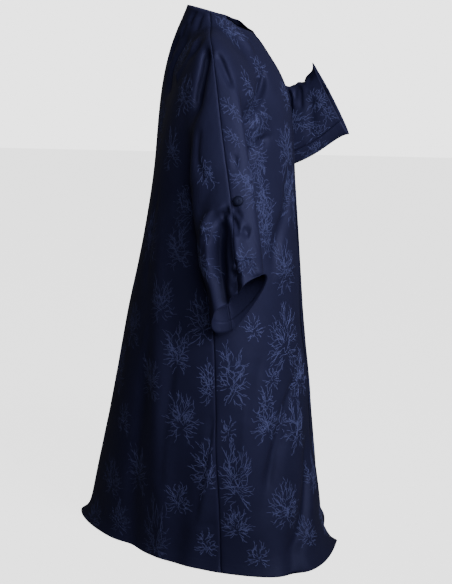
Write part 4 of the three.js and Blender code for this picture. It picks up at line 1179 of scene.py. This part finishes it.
def short_strands(count, width, height, rng):
    """Short lines about the middle of a spray, each heading roughly away from a point a little below that
    middle."""
    middle = rng.normal(0, 0.15, (count, 2)).clip(-0.34, 0.34) * (width, height)
    away = np.arctan2(middle[:, 0] / width, (middle[:, 1] + 0.2 * height) / height)
    fan = away + rng.normal(0, 0.45, count)
    reach = rng.uniform(0.16, 0.3, count) * height
    start = middle - 0.5 * reach[:, None] * np.stack([np.sin(fan), np.cos(fan)], axis=1)
    return wavy_lines(start, fan, reach, rng.normal(0, 0.4, count), rng.uniform(-0.9, 0.9, count),
                      rng.uniform(0, 1, count))[0]


def grow_spray(width, height, rng):
    """All lines of one spray about its middle, in millimetres, and their widths. The stems leave a short
    upright axis: the top ones reach up, the next ones out to the sides, and the lowest curl down. In a spray
    smaller than FULL_SPRAY the number of stems falls with the square root of its area, and that of the short
    strands with the area itself."""
    fullness = min(1, max(LEAST_FULL, width * height / FULL_SPRAY))
    count = round(STEMS_PER_SPRAY * fullness ** 0.5)
    level = (np.arange(count) + rng.uniform(0.2, 0.8, count)) / count
    side = np.where(np.arange(count) % 2 > 0, 1, -1)
    fan = side * (2.75 * (1 - level) ** 0.85 + rng.uniform(-0.12, 0.2, count))
    upwards = height * np.where(level > 0.5, 0.42, 0.25)
    reach = np.hypot(np.sin(fan) * width * 0.42, np.cos(fan) * upwards) * rng.uniform(0.7, 1.15, count)
    root = np.stack([side * rng.uniform(0.0, 0.1, count) * width, (0.5 * level - 0.32) * height], axis=1)
    short = short_strands(round(SHORT_STRANDS * fullness), width, height, rng)
    stems, turns = wavy_lines(root, fan, reach, -side * rng.uniform(0.1, 0.6, count),
                              rng.uniform(-0.85, 0.85, count), rng.uniform(0, 1, count))
    twigs, twig_turns, twig_lengths = twigs_on(stems, turns, reach, TWIG_SPACING, (0.3, 0.75), 0.55, rng)
    longest = np.argsort(twig_lengths)[-FORKS_PER_SPRAY:]
    forks = twigs_on(twigs[longest], twig_turns[longest], twig_lengths[longest], FORK_SPACING,
                     (0.35, 0.8), 0.6, rng)[0]
    widths = np.repeat([STEM_WIDTH, STEM_WIDTH, TWIG_WIDTH, FORK_WIDTH],
                       [len(stems), len(short), len(twigs), len(forks)])
    return np.concatenate([stems, short, twigs, forks]), widths


# %% Where the sprays lie: row and column on the chart, width and height in mm, turn in degrees
SPRAYS = {
    ("right_front", "body"): [
        (101, 41, 60, 110, 180),
        (61, 74, 96, 165, 0), (60, 45, 60, 60, 0), (55, 51, 60, 70, 0), (49, 52, 95, 100, 0),
        (49, 38, 60, 70, 0), (46, 25, 105, 135, 0), (35, 74, 110, 170, 0), (26, 44, 115, 130, 0),
        (22, 75, 90, 90, 0), (11, 64, 80, 60, 0), (15, 28, 80, 90, 0), (68, 31, 150, 165, 0),
        (72, 57, 70, 70, 0), (48, 77, 50, 70, 0), (93, 41, 60, 150, 0), (99, 42, 50, 70, 0),
    ],
    ("left_front", "body"): [],
    ("back", "body"): [
        (37, 164, 110, 140, 0), (14, 162, 70, 80, 0), (50, 150, 110, 140, 0), (27, 149, 80, 90, 0),
        (89, 149, 80, 120, 0), (77, 137, 90, 120, 0), (58, 132, 100, 120, 0), (66, 147, 90, 120, 0),
        (32, 126, 110, 130, 0), (12, 117, 90, 90, 0),
    ],
    ("right_front", "arm"): [
        (10, 46, 70, 110, 180),
        (28, 49, 115, 150, 180), (57, 105, 36, 90, 0), (58, 114, 34, 70, 0), (18, 57, 70, 60, 0),
        (54, 124, 40, 110, 0), (41, 122, 60, 110, 0), (45, 24, 60, 60, 0), (40, 61, 50, 70, 0),
        (58, 156, 70, 80, 90),
    ],
    ("left_front", "arm"): [
        (20, 159, 80, 90, 90), (1, 152, 70, 80, 90), (17, 134, 70, 90, 90), (8, 163, 50, 60, 90),
    ],
    ("back", "arm"): [
        (51, 292, 60, 80, 90), (36, 318, 60, 110, 90), (45, 309, 50, 70, 90), (48, 205, 70, 90, 0),
        (37, 241, 80, 100, 0), (14, 230, 80, 100, 0),
    ],
}

SPRAY_SPACING = 112  # millimetres between the middles of two sprays, at the least
SPRAY_TRIES = 700
SPRAY_WIDTHS = (62, 112)
SPRAY_HEIGHTS = (105, 145)  # in hundredths of the width
PLAIN_PLACES = [(-218, -49, -165), (-245, -46, -252), (-262, -45, -324)]  # on the right upper sleeve


def filled(name, rng):
    """The sprays of both charts of a piece: the ones in SPRAYS, then as many more as find room. Each try
    is a random place, kept where no spray and no plain place lies nearer than SPRAY_SPACING."""
    laid = {where: list(SPRAYS[name, where]) for where in ("body", "arm")}
    taken = [points[CHARTS[name, where]][row, column] for where in laid for row, column, *_ in laid[where]]
    taken += [np.array(place, float) for place in PLAIN_PLACES]
    for where in ("body", "arm"):
        grid = CHARTS[name, where]
        lowest, highest = (3, len(skirt_heights()) - 2) if where == "body" else (3, grid.shape[0] - 4)
        for _ in range(SPRAY_TRIES):
            row, column = rng.integers(lowest, highest), rng.integers(2, grid.shape[1] - 2)
            place = points[grid[row, column]]
            if np.linalg.norm(np.array(taken) - place, axis=1).min() < SPRAY_SPACING:
                continue
            middle = grid.shape[1] // 2 if name == "back" else 0
            on_sleeve = where == "arm" and abs(column - middle) > QUARTER_COLUMNS
            width = rng.integers(*SPRAY_WIDTHS)
            height = rng.integers(*SPRAY_HEIGHTS) * width / 100
            laid[where].append((row, column, width, height, 90 if on_sleeve else 0))
            taken.append(place)
    return laid


def laid_sprays(chart, sprays, rng):
    """The lines of all sprays of a chart, in rows and columns. A step in millimetres becomes rows and
    columns through the lengths of the two grid directions at the spray's middle and the angle between."""
    rows, columns, widths = [], [], []
    for row, column, width, height, turn in sprays:
        lines, line_widths = grow_spray(width, height, rng)
        per_row, per_column = directions(CHARTS[chart], row, column)
        up = per_row / np.linalg.norm(per_row)
        out = per_column - up * (per_column @ up)
        out /= np.linalg.norm(out)
        angle = math.radians(turn)
        x = lines[..., 0] * math.cos(angle) + lines[..., 1] * math.sin(angle)
        y = lines[..., 1] * math.cos(angle) - lines[..., 0] * math.sin(angle)
        step = x[..., None] * out + y[..., None] * up
        metric = np.array([[per_row @ per_row, per_row @ per_column],
                           [per_row @ per_column, per_column @ per_column]])
        moved = np.stack([step @ per_row, step @ per_column], axis=-1) @ np.linalg.inv(metric)
        rows.append(row + moved[..., 0])
        columns.append(column + moved[..., 1])
        widths.append(line_widths)
    return np.concatenate(rows), np.concatenate(columns), np.concatenate(widths)


# %% Sprays on the cloth
MOTIF_LIFT = (0.25, 0.72)  # of a thread's feet and top above the middle of the cloth
FAINTEST = 0.62  # painted sheen: the motif's lightness on the upper body and sleeves, against 1 on the skirt, where it is painted strongest
BRIGHT_BELOW, BRIGHT_OVER = -640, 260  # the height where the painted sheen starts to grow lighter, and over how far down
BACK_SHARE = 0.4  # painted shade: what is left of the motif's lightness towards the back; both this and the painted sheen above are choices made for the look
# the depth where the painted shade on the motif starts, and over how far back
BACK_FROM, BACK_OVER = -30, 170


def on_cloth(laid):
    """Lines laid on several charts, as one set of points, normals and widths on the cloth."""
    at, up, width = [], [], []
    for chart, row, column, widths in laid:
        line_at, line_up, keep = on_chart(chart, row, column)
        at.append(line_at)
        up.append(line_up)
        width.append(widths[keep])
    return np.concatenate(at), np.concatenate(up), np.concatenate(width)


for number, name in enumerate(PIECES):
    rng = np.random.default_rng(100 + number)
    at, up, width = on_cloth([((name, where), *laid_sprays((name, where), sprays, rng))
                              for where, sprays in filled(name, rng).items()])
    # painted sheen: the motif is painted lighter low on the skirt, where the light falls on it most
    painted_light = FAINTEST + (1 - FAINTEST) * smoothstep((BRIGHT_BELOW - at[:, 0, 2]) / BRIGHT_OVER)
    # painted shade: the motif is painted darker towards the back of the robe, where the light does not reach
    painted_light *= 1 - (1 - BACK_SHARE) * smoothstep((at[:, 0, 1] - BACK_FROM) / BACK_OVER)
    thread_mesh(name + "_motif", at, up, width, MOTIF_LIFT, thread, painted_light)

# %% [markdown]
# ## Stitching
# The turned-in edges are held by one row of topstitching each, and the seam over the shoulder and arm is
# stitched down twice on its back side. A row is a line at a set distance from an edge of a chart, cut into
# stitches of equal length.

# %% Rows of stitches
STITCH_LENGTH = 3.0
STITCH_PITCH = 4.2
STITCH_WIDTH = 0.7
STITCH_LIFT = (0.3, 0.62)
HEM_ROW, EDGE_ROW, NECK_ROW = 24, 22, 7  # millimetres from the edge
SEAM_ROWS = (3, 8)


def line_beside(chart, edge, distance, first=0, last=None):
    """Rows and columns of the line that keeps a distance from an edge of a chart. The distance is followed
    along the grid lines that leave the edge."""
    grid = points[CHARTS[chart]]
    if edge in ("left", "right"):
        grid = grid.transpose(1, 0, 2)
    if edge in ("top", "right"):
        grid = grid[::-1]
    turned = grid[:, first:last]
    run = steps_along(turned, 0)
    k = (run < distance).sum(axis=0) - 1
    line = np.arange(run.shape[1])
    away = k + (distance - run[k, line]) / (run[k + 1, line] - run[k, line])
    along = first + line.astype(float)
    end = turned.shape[0] - 1
    return {"bottom": (away, along), "top": (end - away, along),
            "left": (along, away), "right": (along, end - away)}[edge]


def stitch_row(chart, path):
    """Stitches along a path, as rows and columns: every STITCH_PITCH one of STITCH_LENGTH."""
    row, column = path
    step = np.linalg.norm(np.diff(look_up(points[CHARTS[chart]], row, column), axis=0), axis=1)
    run = np.r_[0, np.cumsum(step)]
    start = np.arange(1.0, run[-1] - STITCH_PITCH, STITCH_PITCH)
    want = start[:, None] + np.linspace(0, STITCH_LENGTH, THREAD_POINTS)
    return np.interp(want, run, row), np.interp(want, run, column)


def stitch_paths(name):
    """Every row of stitches on a piece: chart, edge, distance from it, first and last line."""
    body, arm = (name, "body"), (name, "arm")
    middle, end = QUARTER_COLUMNS + SLEEVE_RINGS, None
    if name != "back":
        return [(body, "bottom", HEM_ROW, 0, end), (body, "left", EDGE_ROW, 0, end),
                (arm, "right", EDGE_ROW, 0, end), (arm, "top", NECK_ROW, 0, NECK_COLUMNS)]
    over = [(arm, "top", distance, first, last) for distance in SEAM_ROWS
            for first, last in ((0, middle - NECK_COLUMNS), (middle + NECK_COLUMNS, end))]
    return [(body, "bottom", HEM_ROW, 0, end), (arm, "left", EDGE_ROW, 0, end),
            (arm, "right", EDGE_ROW, 0, end),
            (arm, "top", NECK_ROW, middle - NECK_COLUMNS, middle + NECK_COLUMNS)] + over


for name in PIECES:
    laid = []
    for chart, *where in stitch_paths(name):
        row, column = stitch_row(chart, line_beside(chart, *where))
        laid.append((chart, row, column, np.full(len(row), STITCH_WIDTH)))
    at, up, width = on_cloth(laid)
    thread_mesh(name + "_stitches", at, up, width, STITCH_LIFT, seam_thread)
    print(name, "stitches:", len(at))


# %% [markdown]
# ## Covered buttons
# The button at each elbow is a metal shell with a disc of the satin drawn over it. The cloth is smooth on
# the dome, gathers in small pleats where it is drawn round the rim, and sinks a little in the middle where
# the shank is sewn. It is a profile carried round an axis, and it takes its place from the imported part.

# %% The button's surface
BUTTON_RADIUS = 12
BUTTON_HEIGHT = 6.5
BUTTON_RIM = 2.2
BUTTON_BACK_INSET = 1.2
BUTTON_TUCK = (0.35, 0.75, 0.95)  # how high the first rings of the rim stand against the dome's curve
DIMPLE_DEPTH, DIMPLE_RADIUS = 0.8, 2.6
BUTTON_PLEATS = 22
PLEAT_DEPTH = 0.016  # of the radius


def button_grid(rings=30, around=132):
    """Radius and height along a quarter round from the back to the top, then pleats as a cosine of the
    angle that fade from the rim up the dome."""
    back = np.linspace(0, 1, 6)[1:-1]
    t = np.linspace(0, 1, rings)[:-1]
    side, first = math.pi / 2 * t, len(back)
    radius = np.r_[back * (BUTTON_RADIUS - BUTTON_BACK_INSET), BUTTON_RADIUS * np.cos(side)]
    height = np.r_[0 * back, BUTTON_RIM + (BUTTON_HEIGHT - BUTTON_RIM) * np.sin(side)]
    height[first:first + len(BUTTON_TUCK)] *= BUTTON_TUCK
    height[first:] -= DIMPLE_DEPTH * np.exp(-((radius[first:] / DIMPLE_RADIUS) ** 2))
    pleat = np.r_[0 * back, (1 - t) ** 2]
    angle = 2 * math.pi * np.arange(around) / around
    turn = BUTTON_PLEATS * angle + 0.7 * np.sin(3 * angle)
    r = radius[:, None] * (1 + PLEAT_DEPTH * pleat[:, None] * np.cos(turn))
    return np.stack([r * np.cos(angle), r * np.sin(angle), height[:, None] + 0 * r], axis=-1)


def place_of(node):
    """Where a packed button lies: the middle of its back and its axis, the direction in which its points
    spread least, turned away from the cloth."""
    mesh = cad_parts[node].data
    at = np.empty(len(mesh.vertices) * 3)
    mesh.vertices.foreach_get("co", at)
    at = at.reshape(-1, 3) / MILLIMETRE
    middle = (at.min(0) + at.max(0)) / 2
    axis = np.linalg.svd(at - at.mean(0), full_matrices=False)[2][2]
    axis *= np.sign(axis @ normals[((points - middle) ** 2).sum(1).argmin()])
    off = (at - middle) @ axis
    centre = at[np.abs(off - off.min()) < 0.01].mean(0)
    return centre, axis


def covered_button(name, node):
    """The grid, closed at the back and the top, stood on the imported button's place."""
    grid = button_grid()
    centre, axis = place_of(node)
    across = np.cross(axis, (0, 0, 1.0))
    across /= np.linalg.norm(across)
    basis = np.stack([across, np.cross(axis, across), axis])
    rings, around = grid.shape[:2]
    after = np.roll(np.arange(around), -1)
    ids = np.arange(rings * around).reshape(rings, around)
    back, top = np.full(around, rings * around), np.full(around, rings * around + 1)
    sides = np.stack([ids[:-1], ids[:-1, after], ids[1:, after], ids[1:]], axis=-1).reshape(-1, 4)
    ends = np.vstack([np.stack([ids[0], back, ids[0, after]], axis=1),
                      np.stack([ids[-1], ids[-1, after], top], axis=1)])
    at = np.vstack([grid.reshape(-1, 3), (0, 0, 0), (0, 0, BUTTON_HEIGHT - DIMPLE_DEPTH)])
    piece = mesh_object(name, centre + at @ basis, sides.tolist() + ends.tolist(), button_satin,
                        at[:, :2] * MILLIMETRE)
    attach(piece, "root")
    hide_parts(node)
    return piece


for side in ("right", "left"):
    button = covered_button(side + "_covered_button", side + "_button")
    print(button.name, "faces", len(button.data.polygons))
